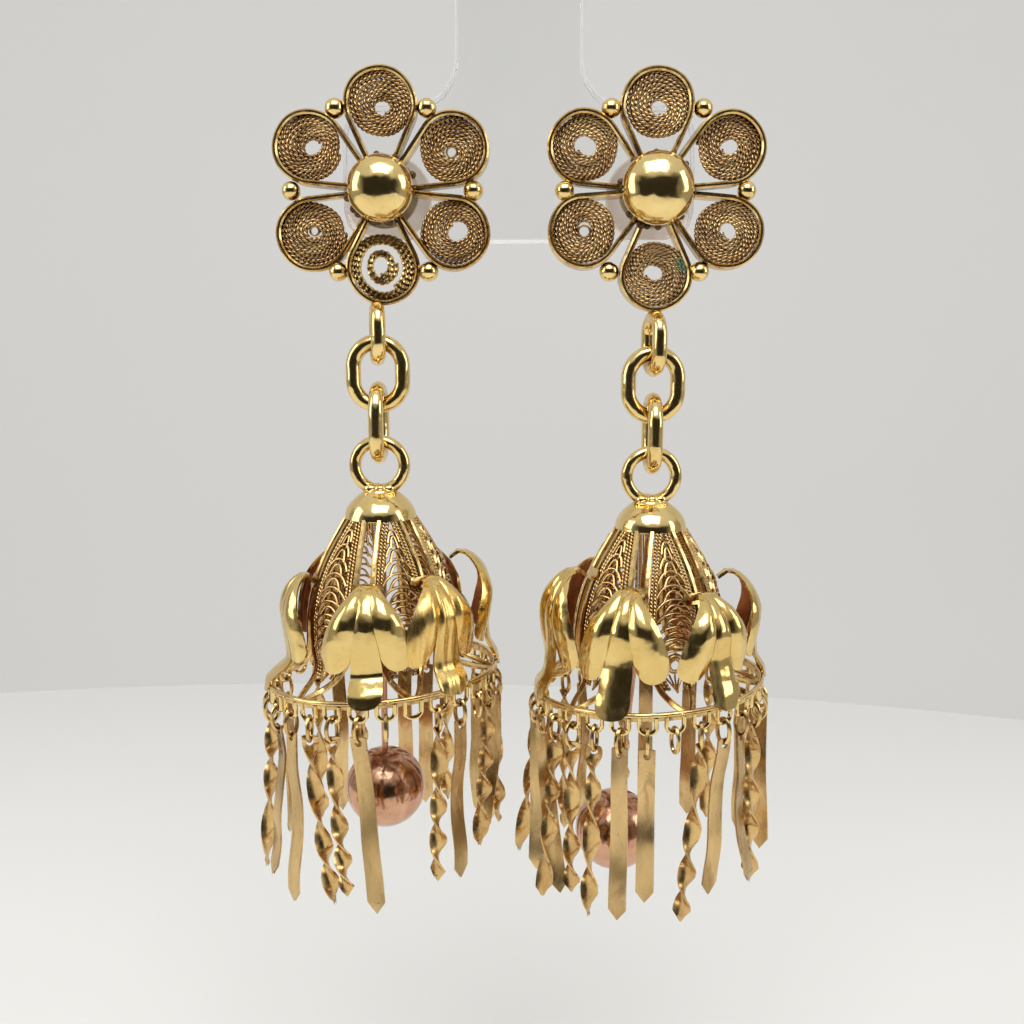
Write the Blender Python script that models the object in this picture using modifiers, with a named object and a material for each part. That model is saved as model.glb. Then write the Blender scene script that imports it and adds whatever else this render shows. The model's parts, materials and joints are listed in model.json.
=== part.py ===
"""Pair of filigree drop earrings hanging on a clear T-shaped display bar.

Metres, +Z up, X to the right, Y to the back. The origin is the middle of the neck's flat top, where the bar is held.
Each earring is a six-petal rosette on a post, a chain of links, and a bell of pierced panels and leaves. Under the
bell's rim a rail of small staples carries a fringe of metal strips, and a ball hangs inside the bell.
"""

import math

import bmesh
import bpy
from mathutils import Matrix, Vector

MM = 0.001

# Display bar
BAR_WIDTH = 28.2 * MM
BAR_HEIGHT = 10.4 * MM
BAR_THICK = 3.0 * MM
BAR_CORNER = 2.2 * MM
NECK_WIDTH = 10.0 * MM
NECK_RISE = 9.5 * MM
NECK_FILLET = 3.6 * MM
POST_UP = 3.6 * MM
PAIR_SPACING = 21.6 * MM

# Fits
SEAT_GAP = 0.3 * MM
LINK_GAP = 0.12 * MM
BITE = 0.12 * MM

# Rosette
PETALS = 6
PETAL_CIRCLE = 6.5 * MM
PETAL_RADIUS = 2.93 * MM
PETAL_FOOT = 1.4 * MM
RIBBON_THICK = 0.3 * MM
RIBBON_DEPTH = 1.7 * MM
COIL_THICK = 0.6 * MM
COIL_EYE = 0.6 * MM
BEAD_RADIUS = 0.8 * MM
BEAD_FORWARD = 0.3 * MM
HUB_THICK = 2.6 * MM
HUB_SHARE = 0.83
DOME_LIP = 0.4 * MM
DOME_RISE = 2.0 * MM
POST_RADIUS = 0.45 * MM
POST_PROUD = 0.8 * MM
NUT_RADIUS = 3.6 * MM
NUT_THICK = 0.8 * MM
NUT_BOSS = 1.5 * MM
NUT_LENGTH = 2.2 * MM

# Chain, all between centre lines of the wire
LOOP_WIDTH = 3.1 * MM
LOOP_WIRE = 0.6 * MM
LINK_WIRE = 0.62 * MM
UPPER_WIDTH = 4.0 * MM
UPPER_HEIGHT = 5.15 * MM
LOWER_WIDTH = 4.0 * MM
LOWER_HEIGHT = 5.5 * MM
RING_RADIUS = 2.02 * MM
RING_WIRE = 0.5 * MM
RING_SUNK = 0.75 * MM

# Bell
CAP_RADIUS = 2.95 * MM
CAP_HEIGHT = 2.4 * MM
CAP_WALL = 0.5 * MM
BELL_RADIUS = 6.1 * MM
BELL_DROP = 13.2 * MM
RIM_RADIUS = 9.4 * MM
RIM_WIDTH = 0.45 * MM
RIM_HEIGHT = 0.6 * MM
PANELS = 6
PANEL_WALL = 0.4 * MM
PANEL_HALF = 2.3 * MM
LEAF_WALL = 0.3 * MM
LEAF_HALF = 3.6 * MM
TONGUE_HALF = 1.4 * MM
LEAF_BULGE = 3.0 * MM
LEAF_START = 4.5 * MM
LEAF_FOLLOWS = 0.66
VEIN_DEPTH = 0.35 * MM
VEIN_SPREAD = 1.3
EYE_RADIUS = 0.9 * MM
EYE_WIRE = 0.25 * MM

# Fringe
STAPLES = 28
STAPLE_OPEN = 0.6
STAPLE_DROP = 1.85 * MM
STAPLE_WIRE = 0.35 * MM
RAIL_GAP = 0.2 * MM
STRIP_WIDTH = 1.45 * MM
STRIP_THICK = 0.2 * MM
STRIP_LENGTH = 13.7 * MM
STRIP_POINT = 0.5 * MM

# Ball
BALL_RADIUS = 3.4 * MM
STEM_WIRE = 0.28 * MM

# Profile of a panel from the cap down, as shares: drop of BELL_DROP, radius of BELL_RADIUS between the cap and the
# widest place, flare of the way from BELL_RADIUS out to RIM_RADIUS, half width of PANEL_HALF, and what lies below
# each row between the two side bands.
PANEL_ROWS = (
    # drop, radius, flare, half, below
    (-0.010, 0.43, 0.00, 0.36, "bar"),
    (0.030, 0.49, 0.00, 0.44, "open"),
    (0.220, 0.74, 0.00, 0.74, "bar"),
    (0.255, 0.78, 0.00, 0.80, "open"),
    (0.440, 0.93, 0.00, 0.97, "bar"),
    (0.475, 0.95, 0.00, 0.99, "open"),
    (0.650, 1.00, 0.00, 1.00, "bar"),
    (0.685, 1.00, 0.00, 0.98, "open"),
    (0.850, 1.00, 0.02, 0.82, "bar"),
    (0.950, 1.00, 0.40, 0.52, "bar"),
    (1.000, 1.00, 1.00, 0.16, "end"),
)
PANEL_BAND = 0.34

# Profile of a leaf, as shares: drop of the way from the leaf's foot to the rim, bulge of LEAF_BULGE outside the
# body, or of the way from the body out to RIM_RADIUS on the tongue's rows, and half width of LEAF_HALF, or of
# TONGUE_HALF on the tongue's rows.
LEAF_ROWS = (
    # drop, bulge, half, part
    (0.00, -0.10, 0.16, "lobes"),
    (-0.03, 0.25, 0.34, "lobes"),
    (0.07, 0.66, 0.56, "lobes"),
    (0.24, 0.96, 0.80, "lobes"),
    (0.46, 0.98, 1.00, "lobes"),
    (0.67, 0.86, 0.90, "lobes"),
    (0.82, 0.80, 1.00, "tongue"),
    (1.00, 1.02, 0.80, "tongue"),
)

# The two earrings: side of the bar, dome radius, height of the fixed loop and how far it sits beside the rosette's
# middle, turn of the panels and the staples about the bell, each leaf's turn in degrees with how far it starts below
# LEAF_START, tilt of the rim, and how the ball hangs.
EARRINGS = {
    "left": {
        "side": -1,
        "dome": 2.6 * MM,
        "loop_height": 3.3 * MM,
        "loop_side": -0.65 * MM,
        "panel_turn": 20.0,
        "leaves": (
            (-73, 1.4 * MM),
            (-2, 1.4 * MM),
            (41, 1.2 * MM),
            (95, 0.0 * MM),
            (155, 0.4 * MM),
            (222, 0.5 * MM),
        ),
        "staple_turn": -5.0,
        "rim_tilt": 3.6,
        "stem": 23.5 * MM,
        "ball_lean": 0.0,
    },
    "right": {
        "side": 1,
        "dome": 2.85 * MM,
        "loop_height": 4.2 * MM,
        "loop_side": 0.15 * MM,
        "panel_turn": 13.0,
        "leaves": (
            (-75, 0.0 * MM),
            (-21, 0.9 * MM),
            (32, 1.5 * MM),
            (88, 0.7 * MM),
            (150, 0.4 * MM),
            (215, 0.5 * MM),
        ),
        "staple_turn": -7.0,
        "rim_tilt": 4.0,
        "stem": 26.6 * MM,
        "ball_lean": 5.5,
    },
}

# The strips: staple counted round from the front, turns of the twist, length as a share of STRIP_LENGTH, sideways
# lean and outward splay in degrees, turn about its own length in degrees, and inward bow as a share of its length.
STRIPS = {
    "left": (
        # staple, turns, length, lean, splay, face, bow
        (-5, 1.6, 0.96, -1.0, 3.5, 0, 0.00),
        (-4, 0.0, 0.95, -2.5, 3.5, 0, 0.02),
        (-3, 0.0, 1.06, -0.5, 0.5, 0, 0.02),
        (-2, 1.8, 1.02, 7.0, -2.0, 0, 0.00),
        (-1, 2.0, 0.95, 4.0, 0.0, 0, 0.00),
        (0, 0.0, 1.06, 4.5, 0.0, -5, 0.05),
        (3, 1.8, 0.94, -1.0, 0.0, 0, 0.00),
        (4, 0.0, 0.98, -0.5, 0.0, 5, 0.02),
        (6, 2.0, 0.94, 0.5, -4.0, 0, 0.00),
        (7, 0.0, 0.92, 0.0, -5.0, 75, -0.05),
        (8, 1.5, 0.92, 0.5, 2.0, 20, 0.00),
        (9, 0.0, 0.96, 0.5, 1.5, 60, 0.02),
        (10, 0.0, 1.00, -0.5, 0.0, 10, 0.03),
        (12, 1.8, 0.96, 0.0, 0.0, 0, 0.00),
        (13, 0.0, 1.00, 1.0, 0.0, 10, 0.02),
        (14, 0.0, 0.94, 0.0, 0.0, 0, 0.03),
        (16, 1.8, 1.00, 0.5, 0.0, 10, 0.00),
        (17, 0.0, 0.98, 0.0, 0.0, 0, 0.02),
        (18, 1.5, 0.98, 0.5, 0.0, 10, 0.00),
        (20, 0.0, 0.96, 0.0, 1.0, 10, 0.02),
    ),
    "right": (
        # staple, turns, length, lean, splay, face, bow
        (-7, 1.5, 0.96, 0.0, 6.5, 0, 0.00),
        (-6, 0.0, 0.98, 1.0, 0.0, 70, 0.02),
        (-5, 0.0, 1.06, 3.0, -5.0, 75, 0.02),
        (-4, 1.8, 1.04, -3.0, 2.5, 0, 0.00),
        (-3, 1.6, 0.94, 0.0, 0.0, 0, 0.00),
        (-2, 1.9, 1.06, -1.5, 0.0, 0, 0.00),
        (-1, 0.0, 1.04, 0.0, 0.0, 3, 0.01),
        (0, 0.0, 0.93, 0.0, 0.0, 0, 0.02),
        (2, 1.9, 1.06, -5.5, 0.0, 0, 0.00),
        (3, 0.0, 0.94, -4.5, 0.0, 0, 0.02),
        (4, 0.0, 0.96, 5.0, 1.5, 10, 0.02),
        (5, 1.8, 1.00, 2.0, 0.0, 0, 0.00),
        (7, 0.0, 0.94, 0.0, 2.0, 75, 0.02),
        (8, 1.5, 1.00, 0.5, 0.0, 0, 0.00),
        (9, 0.0, 0.98, 0.0, 0.0, 10, 0.02),
        (11, 1.8, 0.99, 0.0, 0.0, 0, 0.00),
        (12, 0.0, 1.00, 0.0, 0.0, 10, 0.02),
        (14, 0.0, 0.98, -0.5, 0.0, 0, 0.03),
        (15, 1.8, 0.96, 0.0, 0.0, 10, 0.00),
        (17, 0.0, 0.97, 0.5, 0.0, 20, 0.02),
        (18, 1.8, 1.00, 0.0, 0.0, 0, 0.00),
        (20, 0.0, 1.00, 0.5, 0.0, 15, 0.02),
    ),
}

COLOURS = {
    # red, green, blue, roughness, metallic
    "clear_acrylic": (0.92, 0.95, 0.94, 0.05, 0.0),
    "antique_gold": (0.48, 0.32, 0.14, 0.38, 1.0),
    "polished_gold": (0.80, 0.60, 0.26, 0.18, 1.0),
    "satin_gold": (0.66, 0.46, 0.24, 0.34, 1.0),
    "rose_gold": (0.60, 0.36, 0.24, 0.28, 1.0),
}


def clear_scene():
    for obj in list(bpy.data.objects):
        bpy.data.objects.remove(obj, do_unlink=True)


def new_collection(name):
    group = bpy.data.collections.new(name)
    bpy.context.scene.collection.children.link(group)
    return group


def material(name):
    red, green, blue, roughness, metallic = COLOURS[name]
    made = bpy.data.materials.get(name) or bpy.data.materials.new(name)
    made.use_nodes = True
    shader = made.node_tree.nodes["Principled BSDF"]
    shader.inputs["Base Color"].default_value = (red, green, blue, 1.0)
    shader.inputs["Roughness"].default_value = roughness
    shader.inputs["Metallic"].default_value = metallic
    return made


def loose(data, name="piece"):
    """An object that is not yet part of the model."""
    obj = bpy.data.objects.new(name, data)
    bpy.context.scene.collection.objects.link(obj)
    return obj


def as_mesh(obj, weld=0.002 * MM):
    """The evaluated object as a plain mesh in its own place, with its caps welded."""
    bpy.context.view_layer.update()
    graph = bpy.context.evaluated_depsgraph_get()
    data = bpy.data.meshes.new_from_object(obj.evaluated_get(graph))
    data.transform(obj.matrix_world)
    shape = bmesh.new()
    shape.from_mesh(data)
    if weld:
        bmesh.ops.remove_doubles(shape, verts=shape.verts, dist=weld)
        bmesh.ops.recalc_face_normals(shape, faces=shape.faces)
    shape.to_mesh(data)
    shape.free()
    bpy.data.objects.remove(obj, do_unlink=True)
    return loose(data)


def turned(profile, steps):
    """A solid turned about Z from (radius, height) points that run down its outer side."""
    data = bpy.data.meshes.new("profile")
    points = [(radius, 0.0, height) for radius, height in profile]
    data.from_pydata(points, [(i, i + 1) for i in range(len(points) - 1)], [])
    obj = loose(data)
    screw = obj.modifiers.new("turn", "SCREW")
    screw.steps = steps
    screw.render_steps = steps
    screw.use_merge_vertices = True
    screw.merge_threshold = 0.001 * MM
    return as_mesh(obj)


def turned_ring(profile, steps):
    """A closed section turned about Z."""
    return turned(list(profile) + [profile[0]], steps)


def wire(points, radius, closed=False):
    """A six-sided wire along the points."""
    curve = bpy.data.curves.new("wire", "CURVE")
    curve.dimensions = "3D"
    curve.bevel_depth = radius
    curve.bevel_resolution = 1
    curve.use_fill_caps = True
    spline = curve.splines.new("POLY")
    spline.points.add(len(points) - 1)
    for spot, point in zip(spline.points, points):
        spot.co = (*point, 1.0)
    spline.use_cyclic_u = closed
    return as_mesh(loose(curve))


def torus(major, minor, sides, round_sides):
    bpy.ops.mesh.primitive_torus_add(
        major_radius=major, minor_radius=minor, major_segments=sides, minor_segments=round_sides
    )
    return as_mesh(bpy.context.active_object)


def sphere(radius, sides, rows):
    bpy.ops.mesh.primitive_uv_sphere_add(radius=radius, segments=sides, ring_count=rows)
    return as_mesh(bpy.context.active_object)


def plate(outline, thick, holes=()):
    """A flat plate in the XY plane, centred on it, with round holes given as outlines."""
    curve = bpy.data.curves.new("plate", "CURVE")
    curve.dimensions = "2D"
    curve.fill_mode = "BOTH"
    curve.extrude = thick / 2
    for line in (outline, *holes):
        spline = curve.splines.new("POLY")
        spline.points.add(len(line) - 1)
        for spot, (x, y) in zip(spline.points, line):
            spot.co = (x, y, 0.0, 1.0)
        spline.use_cyclic_u = True
    return as_mesh(loose(curve))


def moved(obj, matrix):
    obj.data.transform(matrix)
    return obj


def turn(axis, degrees):
    return Matrix.Rotation(math.radians(degrees), 4, axis)


def shift(x=0.0, y=0.0, z=0.0):
    return Matrix.Translation((x, y, z))


def circle(x, y, radius, sides, start=0.0):
    step = 2 * math.pi / sides
    return [
        (x + radius * math.cos(start + i * step), y + radius * math.sin(start + i * step))
        for i in range(sides)
    ]


def finish(obj, name, colour, group, origin, parent=None):
    """Names the piece, puts its origin on its joint or post and its material on it."""
    obj.data.transform(Matrix.Translation(-origin))
    obj.name = name
    obj.data.name = name
    obj.location = origin
    obj.data.materials.clear()
    obj.data.materials.append(material(colour))
    obj.data.shade_smooth()
    obj.data.set_sharp_from_angle(angle=math.radians(38))
    for old in list(obj.users_collection):
        old.objects.unlink(obj)
    group.objects.link(obj)
    if parent:
        obj.parent = parent
        obj.location = origin - parent.location
    return obj


def soldered(pieces):
    """One body out of closed pieces that overlap each other."""
    base = pieces[0]
    for other in pieces[1:]:
        joint = base.modifiers.new("solder", "BOOLEAN")
        joint.operation = "UNION"
        joint.solver = "EXACT"
        joint.object = other
    whole = as_mesh(base, weld=None)
    for other in pieces[1:]:
        bpy.data.objects.remove(other, do_unlink=True)
    return whole


def patch(rows, open_cells=()):
    """An open sheet through rows of points; a row may be shorter than the one above it."""
    shape = bmesh.new()
    lines = [[shape.verts.new(point) if point else None for point in row] for row in rows]
    for i in range(len(lines) - 1):
        for j in range(len(lines[i]) - 1):
            corners = (lines[i][j], lines[i + 1][j], lines[i + 1][j + 1], lines[i][j + 1])
            if (i, j) not in open_cells and None not in corners:
                shape.faces.new(corners)
    bmesh.ops.remove_doubles(shape, verts=shape.verts, dist=0.002 * MM)
    bmesh.ops.recalc_face_normals(shape, faces=shape.faces)
    data = bpy.data.meshes.new("patch")
    shape.to_mesh(data)
    shape.free()
    return loose(data)


def thickened(obj, wall):
    solid = obj.modifiers.new("wall", "SOLIDIFY")
    solid.thickness = wall
    solid.offset = 0.0
    return as_mesh(obj)


def oval(width, height, sides=12):
    """Points of a link standing in the XZ plane: two half circles joined by straight sides."""
    radius = width / 2
    rise = height / 2 - radius
    points = []
    for i in range(sides):
        angle = 2 * math.pi * (i + 0.5) / sides
        up = rise if math.sin(angle) > 0 else -rise
        points.append((radius * math.cos(angle), 0.0, radius * math.sin(angle) + up))
    return points


def display_bar(group):
    """Clear inverted T with rounded ends, a flat neck top and a hole for each post."""
    half, neck = BAR_WIDTH / 2, NECK_WIDTH / 2
    bottom = -NECK_RISE - BAR_HEIGHT
    outline = [(-neck, 0.0), (neck, 0.0)]
    for i in range(5):
        angle = math.pi + math.pi / 2 * i / 4
        x = neck + NECK_FILLET * (1 + math.cos(angle))
        outline.append((x, -NECK_RISE + NECK_FILLET * (1 + math.sin(angle))))
    for corner_z, first in ((-NECK_RISE - BAR_CORNER, 90), (bottom + BAR_CORNER, 0)):
        for i in range(4):
            angle = math.radians(first - 30 * i)
            x = half - BAR_CORNER + BAR_CORNER * math.cos(angle)
            outline.append((x, corner_z + BAR_CORNER * math.sin(angle)))
    outline += [(-x, z) for x, z in reversed(outline[2:])]
    post_z = bottom + POST_UP
    holes = [
        circle(side * PAIR_SPACING / 2, post_z, POST_RADIUS + SEAT_GAP, 12) for side in (-1, 1)
    ]
    bar = plate(outline, BAR_THICK, holes)
    moved(bar, turn("X", 90))
    return finish(bar, "display_bar", "clear_acrylic", group, Vector((0, 0, 0)))


def petal_plane():
    """Y of the petals' middle plane, in front of the bar."""
    return -(BAR_THICK / 2 + SEAT_GAP + RIBBON_DEPTH / 2)


def teardrop(radius, foot, sides):
    """Outline of a petal along +X: an arc about PETAL_CIRCLE, closed by two tangents that run in to the hub."""
    open_angle = math.acos(radius / PETAL_CIRCLE)
    points = []
    for i in range(sides + 1):
        angle = -(math.pi - open_angle) + 2 * (math.pi - open_angle) * i / sides
        points.append((PETAL_CIRCLE + radius * math.cos(angle), radius * math.sin(angle)))
    slope = radius / math.sqrt(PETAL_CIRCLE**2 - radius**2)
    return [(foot, -foot * slope), *points, (foot, foot * slope)]


def petal():
    """Ribbon on edge round a flat coil with an open eye, along +X in the XY plane."""
    inner_radius = PETAL_RADIUS - RIBBON_THICK
    outer = teardrop(PETAL_RADIUS, PETAL_FOOT, 10)
    wall = plate(outer, RIBBON_DEPTH, [teardrop(inner_radius, PETAL_FOOT + RIBBON_THICK, 10)])
    half = COIL_THICK / 2
    coil = turned_ring(
        [(COIL_EYE, half), (inner_radius + BITE, half), (inner_radius + BITE, -half), (COIL_EYE, -half)], 10
    )
    moved(coil, shift(x=PETAL_CIRCLE))
    return [wall, coil]


def rosette(name, spec, group, place):
    """Six petals, six beads and a dome on a post, with the fixed loop soldered under the lowest petal."""
    pieces = []
    half = RIBBON_DEPTH / 2
    dome = spec["dome"]
    front = half + HUB_THICK - RIBBON_DEPTH
    profile = [(0.0, front + DOME_RISE)]
    for i in range(1, 4):
        angle = math.radians(90 - 30 * i)
        profile.append((dome * math.cos(angle), front + DOME_RISE * math.sin(angle)))
    profile += [(dome * HUB_SHARE, front - DOME_LIP), (dome * HUB_SHARE, -half)]
    post_end = -half - SEAT_GAP - BAR_THICK - SEAT_GAP - NUT_THICK - NUT_LENGTH
    profile += [(POST_RADIUS, -half), (POST_RADIUS, post_end), (0.0, post_end)]
    pieces.append(turned(profile, 14))
    for i in range(PETALS):
        for piece in petal():
            pieces.append(moved(piece, turn("Z", 30 + 60 * i)))
    bead_circle = math.sqrt(PETAL_CIRCLE**2 - (PETAL_CIRCLE / 2) ** 2)
    reach = math.sqrt((PETAL_RADIUS + BEAD_RADIUS - BITE) ** 2 - (PETAL_CIRCLE / 2) ** 2)
    for i in range(PETALS):
        bead = sphere(BEAD_RADIUS, 10, 4)
        pieces.append(moved(bead, turn("Z", 60 * i) @ shift(x=bead_circle + reach, z=BEAD_FORWARD)))
    height = spec["loop_height"]
    loop = wire(oval(LOOP_WIDTH, height), LOOP_WIRE, closed=True)
    loop_middle = -PETAL_CIRCLE - PETAL_RADIUS - LOOP_WIRE + 2 * BITE - height / 2
    moved(loop, shift(x=spec["loop_side"], y=loop_middle) @ turn("Y", 90) @ turn("X", 90))
    pieces.append(loop)
    whole = soldered(pieces)
    moved(whole, turn("X", 90))
    moved(whole, Matrix.Translation(place))
    return finish(whole, name + "_rosette", "antique_gold", group, place)


def ear_nut(name, group, place):
    """Plain round nut on the post behind the bar."""
    hole = POST_RADIUS + SEAT_GAP / 2
    nut = turned_ring(
        [
            (hole, 0.0),
            (NUT_RADIUS, 0.0),
            (NUT_RADIUS, -NUT_THICK),
            (NUT_BOSS, -NUT_THICK),
            (NUT_BOSS, -NUT_THICK - NUT_LENGTH + POST_PROUD),
            (hole, -NUT_THICK - NUT_LENGTH + POST_PROUD),
        ],
        14,
    )
    spot = Vector((place.x, BAR_THICK / 2 + SEAT_GAP, place.z))
    moved(nut, Matrix.Translation(spot) @ turn("X", 90))
    return finish(nut, name + "_ear_nut", "satin_gold", group, spot)


def bell_radius(share):
    """Radius of the open body, as the panels have it, at a share of BELL_DROP."""
    rows = [(row[0], row[1] * BELL_RADIUS + row[2] * (RIM_RADIUS - BELL_RADIUS)) for row in PANEL_ROWS]
    for (low, first), (high, last) in zip(rows, rows[1:]):
        if share <= high:
            return first + (last - first) * (share - low) / (high - low)
    return rows[-1][1]


def round_axis(radius, across, height):
    """A point at a distance across, measured round the bell, from the +X direction."""
    angle = across / radius
    return (radius * math.cos(angle), radius * math.sin(angle), height)


def bell_panel():
    """Lens of pierced work with bars between two bands, whose lower end bends out on to the rim."""
    rows, open_cells = [], set()
    for i, (drop, radius, flare, half, below) in enumerate(PANEL_ROWS):
        reach = radius * BELL_RADIUS + flare * (RIM_RADIUS - BELL_RADIUS)
        edge = half * PANEL_HALF
        band = edge * (1 - PANEL_BAND)
        rows.append([round_axis(reach, across, -drop * BELL_DROP) for across in (-edge, -band, band, edge)])
        if below == "open":
            open_cells.add((i, 1))
    return thickened(patch(rows, open_cells), PANEL_WALL)


def bell_leaf(start):
    """Leaf of three lobes that arches out from the body, with its long tongue on the rim."""
    rows = []
    for drop, bulge, half, part in LEAF_ROWS:
        share = start / BELL_DROP + drop * (1 - start / BELL_DROP)
        foot = bell_radius(min(share, LEAF_FOLLOWS))
        reach = foot + bulge * LEAF_BULGE
        if part == "tongue":
            reach = foot + bulge * (RIM_RADIUS - foot)
            edge = half * TONGUE_HALF
            spots = (None, -edge, 0.0, edge, None)
        else:
            edge = half * LEAF_HALF
            inner = TONGUE_HALF * min(1.0, VEIN_SPREAD * half)
            spots = (-edge, -min(inner, edge / 2), 0.0, min(inner, edge / 2), edge)
        row = []
        for across in spots:
            if across is None:
                row.append(None)
                continue
            low = VEIN_DEPTH if part == "lobes" and abs(across) < edge else 0.0
            row.append(round_axis(reach, across, -share * BELL_DROP - low * half))
        rows.append(row)
    return thickened(patch(rows), LEAF_WALL)


def bell_tilt(spec, point):
    """How much the tilted rim lifts a point of the upright bell; nothing at the cap, all of it at the rim."""
    share = min(1.0, max(0.0, -point.z / BELL_DROP))
    return point.x * math.tan(math.radians(spec["rim_tilt"])) * share


def bell(name, spec, group, parent, ring_middle):
    """Ring, cap, eye, pierced panels, leaves and the rim, soldered together."""
    steps = 14
    cap_top = -RING_RADIUS - RING_WIRE + RING_SUNK
    cap_low = cap_top - CAP_HEIGHT
    outer, inner = [], []
    for i in range(5):
        angle = math.radians(90 - 22.5 * i)
        outer.append((CAP_RADIUS * math.cos(angle), cap_low + CAP_HEIGHT * math.sin(angle)))
        reach, rise = CAP_RADIUS - CAP_WALL, CAP_HEIGHT - CAP_WALL
        inner.append((reach * math.cos(angle), cap_low + rise * math.sin(angle)))
    cap = turned(outer + list(reversed(inner)), steps)
    ring = moved(torus(RING_RADIUS, RING_WIRE, 12, 6), turn("X", 90))
    eye_middle = eye_height(cap_low)
    eye = moved(torus(EYE_RADIUS, EYE_WIRE, 10, 5), shift(z=eye_middle) @ turn("X", 90))
    pieces = [cap, ring, eye]
    body = []
    for i in range(PANELS):
        body.append(moved(bell_panel(), turn("Z", spec["panel_turn"] - 90 + 360 * i / PANELS)))
    for angle, lower in spec["leaves"]:
        body.append(moved(bell_leaf(LEAF_START + lower), turn("Z", angle - 90)))
    half, low = RIM_WIDTH / 2, -BELL_DROP - RIM_HEIGHT / 2
    body.append(
        turned_ring(
            [
                (RIM_RADIUS - half, low + RIM_HEIGHT),
                (RIM_RADIUS + half, low + RIM_HEIGHT),
                (RIM_RADIUS + half, low),
                (RIM_RADIUS - half, low),
            ],
            STAPLES,
        )
    )
    for piece in body:
        for vertex in piece.data.vertices:
            vertex.co.z += bell_tilt(spec, vertex.co)
        moved(piece, shift(z=cap_low))
    whole = soldered(pieces + body)
    moved(whole, Matrix.Translation(ring_middle))
    finish(whole, name + "_bell", "polished_gold", group, ring_middle, parent)
    return ring_middle + Vector((0, 0, cap_low)), ring_middle + Vector((0, 0, eye_middle))


def eye_height(cap_low):
    """Middle of the small eye inside the cap, whose top is soldered to the cap's inner side."""
    return cap_low + CAP_HEIGHT - CAP_WALL - EYE_RADIUS + BITE / 2


def strip(turns, length, lean, splay, face, bow):
    """Hanging strip with a pointed end, its top at the origin, turned and bent as it hangs."""
    bpy.ops.mesh.primitive_cube_add(size=1.0)
    block = bpy.context.active_object
    block.data.transform(Matrix.Diagonal((STRIP_WIDTH, STRIP_THICK, length, 1.0)))
    block.data.transform(shift(z=-length / 2))
    shape = bmesh.new()
    shape.from_mesh(block.data)
    ends = [e for e in shape.edges if abs(e.verts[0].co.z - e.verts[1].co.z) > length / 2]
    cuts = round(4 * turns) if turns else 1
    bmesh.ops.subdivide_edges(shape, edges=ends, cuts=cuts)
    low = [
        e
        for e in shape.edges
        if max(v.co.z for v in e.verts) < -length / 2
        and abs(e.verts[0].co.x - e.verts[1].co.x) > STRIP_WIDTH / 2
    ]
    bmesh.ops.subdivide_edges(shape, edges=low, cuts=1)
    for vertex in shape.verts:
        if abs(vertex.co.x) < STRIP_WIDTH / 4:
            vertex.co.z -= STRIP_POINT
    bmesh.ops.triangulate(shape, faces=shape.faces)
    for vertex in shape.verts:
        share = -vertex.co.z / length
        vertex.co.y += bow * length * math.sin(math.pi * min(1.0, share))
        vertex.co.rotate(Matrix.Rotation(math.radians(face + 360 * turns * share), 3, "Z"))
        vertex.co.x += share * length * math.sin(math.radians(lean))
        vertex.co.y -= share * length * math.sin(math.radians(splay))
    shape.to_mesh(block.data)
    shape.free()
    return as_mesh(block)


def staple_rail(spec):
    """Ring of staples under the rim: a post at each side of every opening, all on one low bar."""
    top = -BELL_DROP - RIM_HEIGHT / 2 - RAIL_GAP
    bar = -BELL_DROP - STAPLE_DROP
    open_angle = 360 / STAPLES * STAPLE_OPEN
    rows = [[], [], []]
    for i in range(STAPLES + 1):
        for edge in (-0.5, 0.5):
            angle = math.radians(spec["staple_turn"] - 90 + 360 * i / STAPLES + edge * open_angle)
            x, y = RIM_RADIUS * math.cos(angle), RIM_RADIUS * math.sin(angle)
            for row, z in zip(rows, (top, bar + STAPLE_WIRE / 2, bar - STAPLE_WIRE / 2)):
                row.append((x, y, z))
    for row in rows:
        del row[-1]
    openings = {(0, 2 * i) for i in range(STAPLES)}
    return thickened(patch(rows, openings), STAPLE_WIRE)


def fringe(name, spec, group, parent, bell_top):
    """The rail of staples with every strip hanging from its bar."""
    pieces = [staple_rail(spec)]
    for slot, turns, share, lean, splay, face, bow in STRIPS[name]:
        angle = spec["staple_turn"] - 90 + 360 * slot / STAPLES
        hung = strip(turns, share * STRIP_LENGTH, lean, splay, face, bow)
        moved(hung, shift(x=RIM_RADIUS, z=-BELL_DROP - STAPLE_DROP) @ turn("Z", 90))
        pieces.append(moved(hung, turn("Z", angle)))
    for piece in pieces:
        lifts = [bell_tilt(spec, vertex.co) for vertex in piece.data.vertices]
        for vertex, lift in zip(piece.data.vertices, lifts):
            vertex.co.z += lift
    whole = soldered(pieces)
    moved(whole, Matrix.Translation(bell_top))
    finish(whole, name + "_fringe", "satin_gold", group, bell_top, parent)


def ball(name, spec, group, parent, eye_middle):
    """Round ball on a wire stem, whose own eye hangs in the eye of the cap."""
    hook = -EYE_RADIUS
    middle = 2 * EYE_WIRE + LINK_GAP - EYE_RADIUS
    loop = moved(torus(EYE_RADIUS, EYE_WIRE, 10, 5), turn("Y", 90))
    foot = -spec["stem"]
    stem = wire([(0, 0, hook), (0, 0, foot + BALL_RADIUS / 2)], STEM_WIRE)
    round_ball = moved(sphere(BALL_RADIUS, 14, 8), shift(z=foot))
    whole = soldered([round_ball, stem, loop])
    pivot = eye_middle - Vector((0, 0, EYE_RADIUS))
    moved(whole, Matrix.Translation(pivot) @ turn("Y", spec["ball_lean"]) @ shift(z=middle))
    finish(whole, name + "_ball", "rose_gold", group, pivot, parent)


def pivot_empty(name, place, group, parent=None):
    made = bpy.data.objects.new(name, None)
    made.location = place
    group.objects.link(made)
    if parent:
        made.parent = parent
        made.location = place - parent.location
    return made


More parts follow.
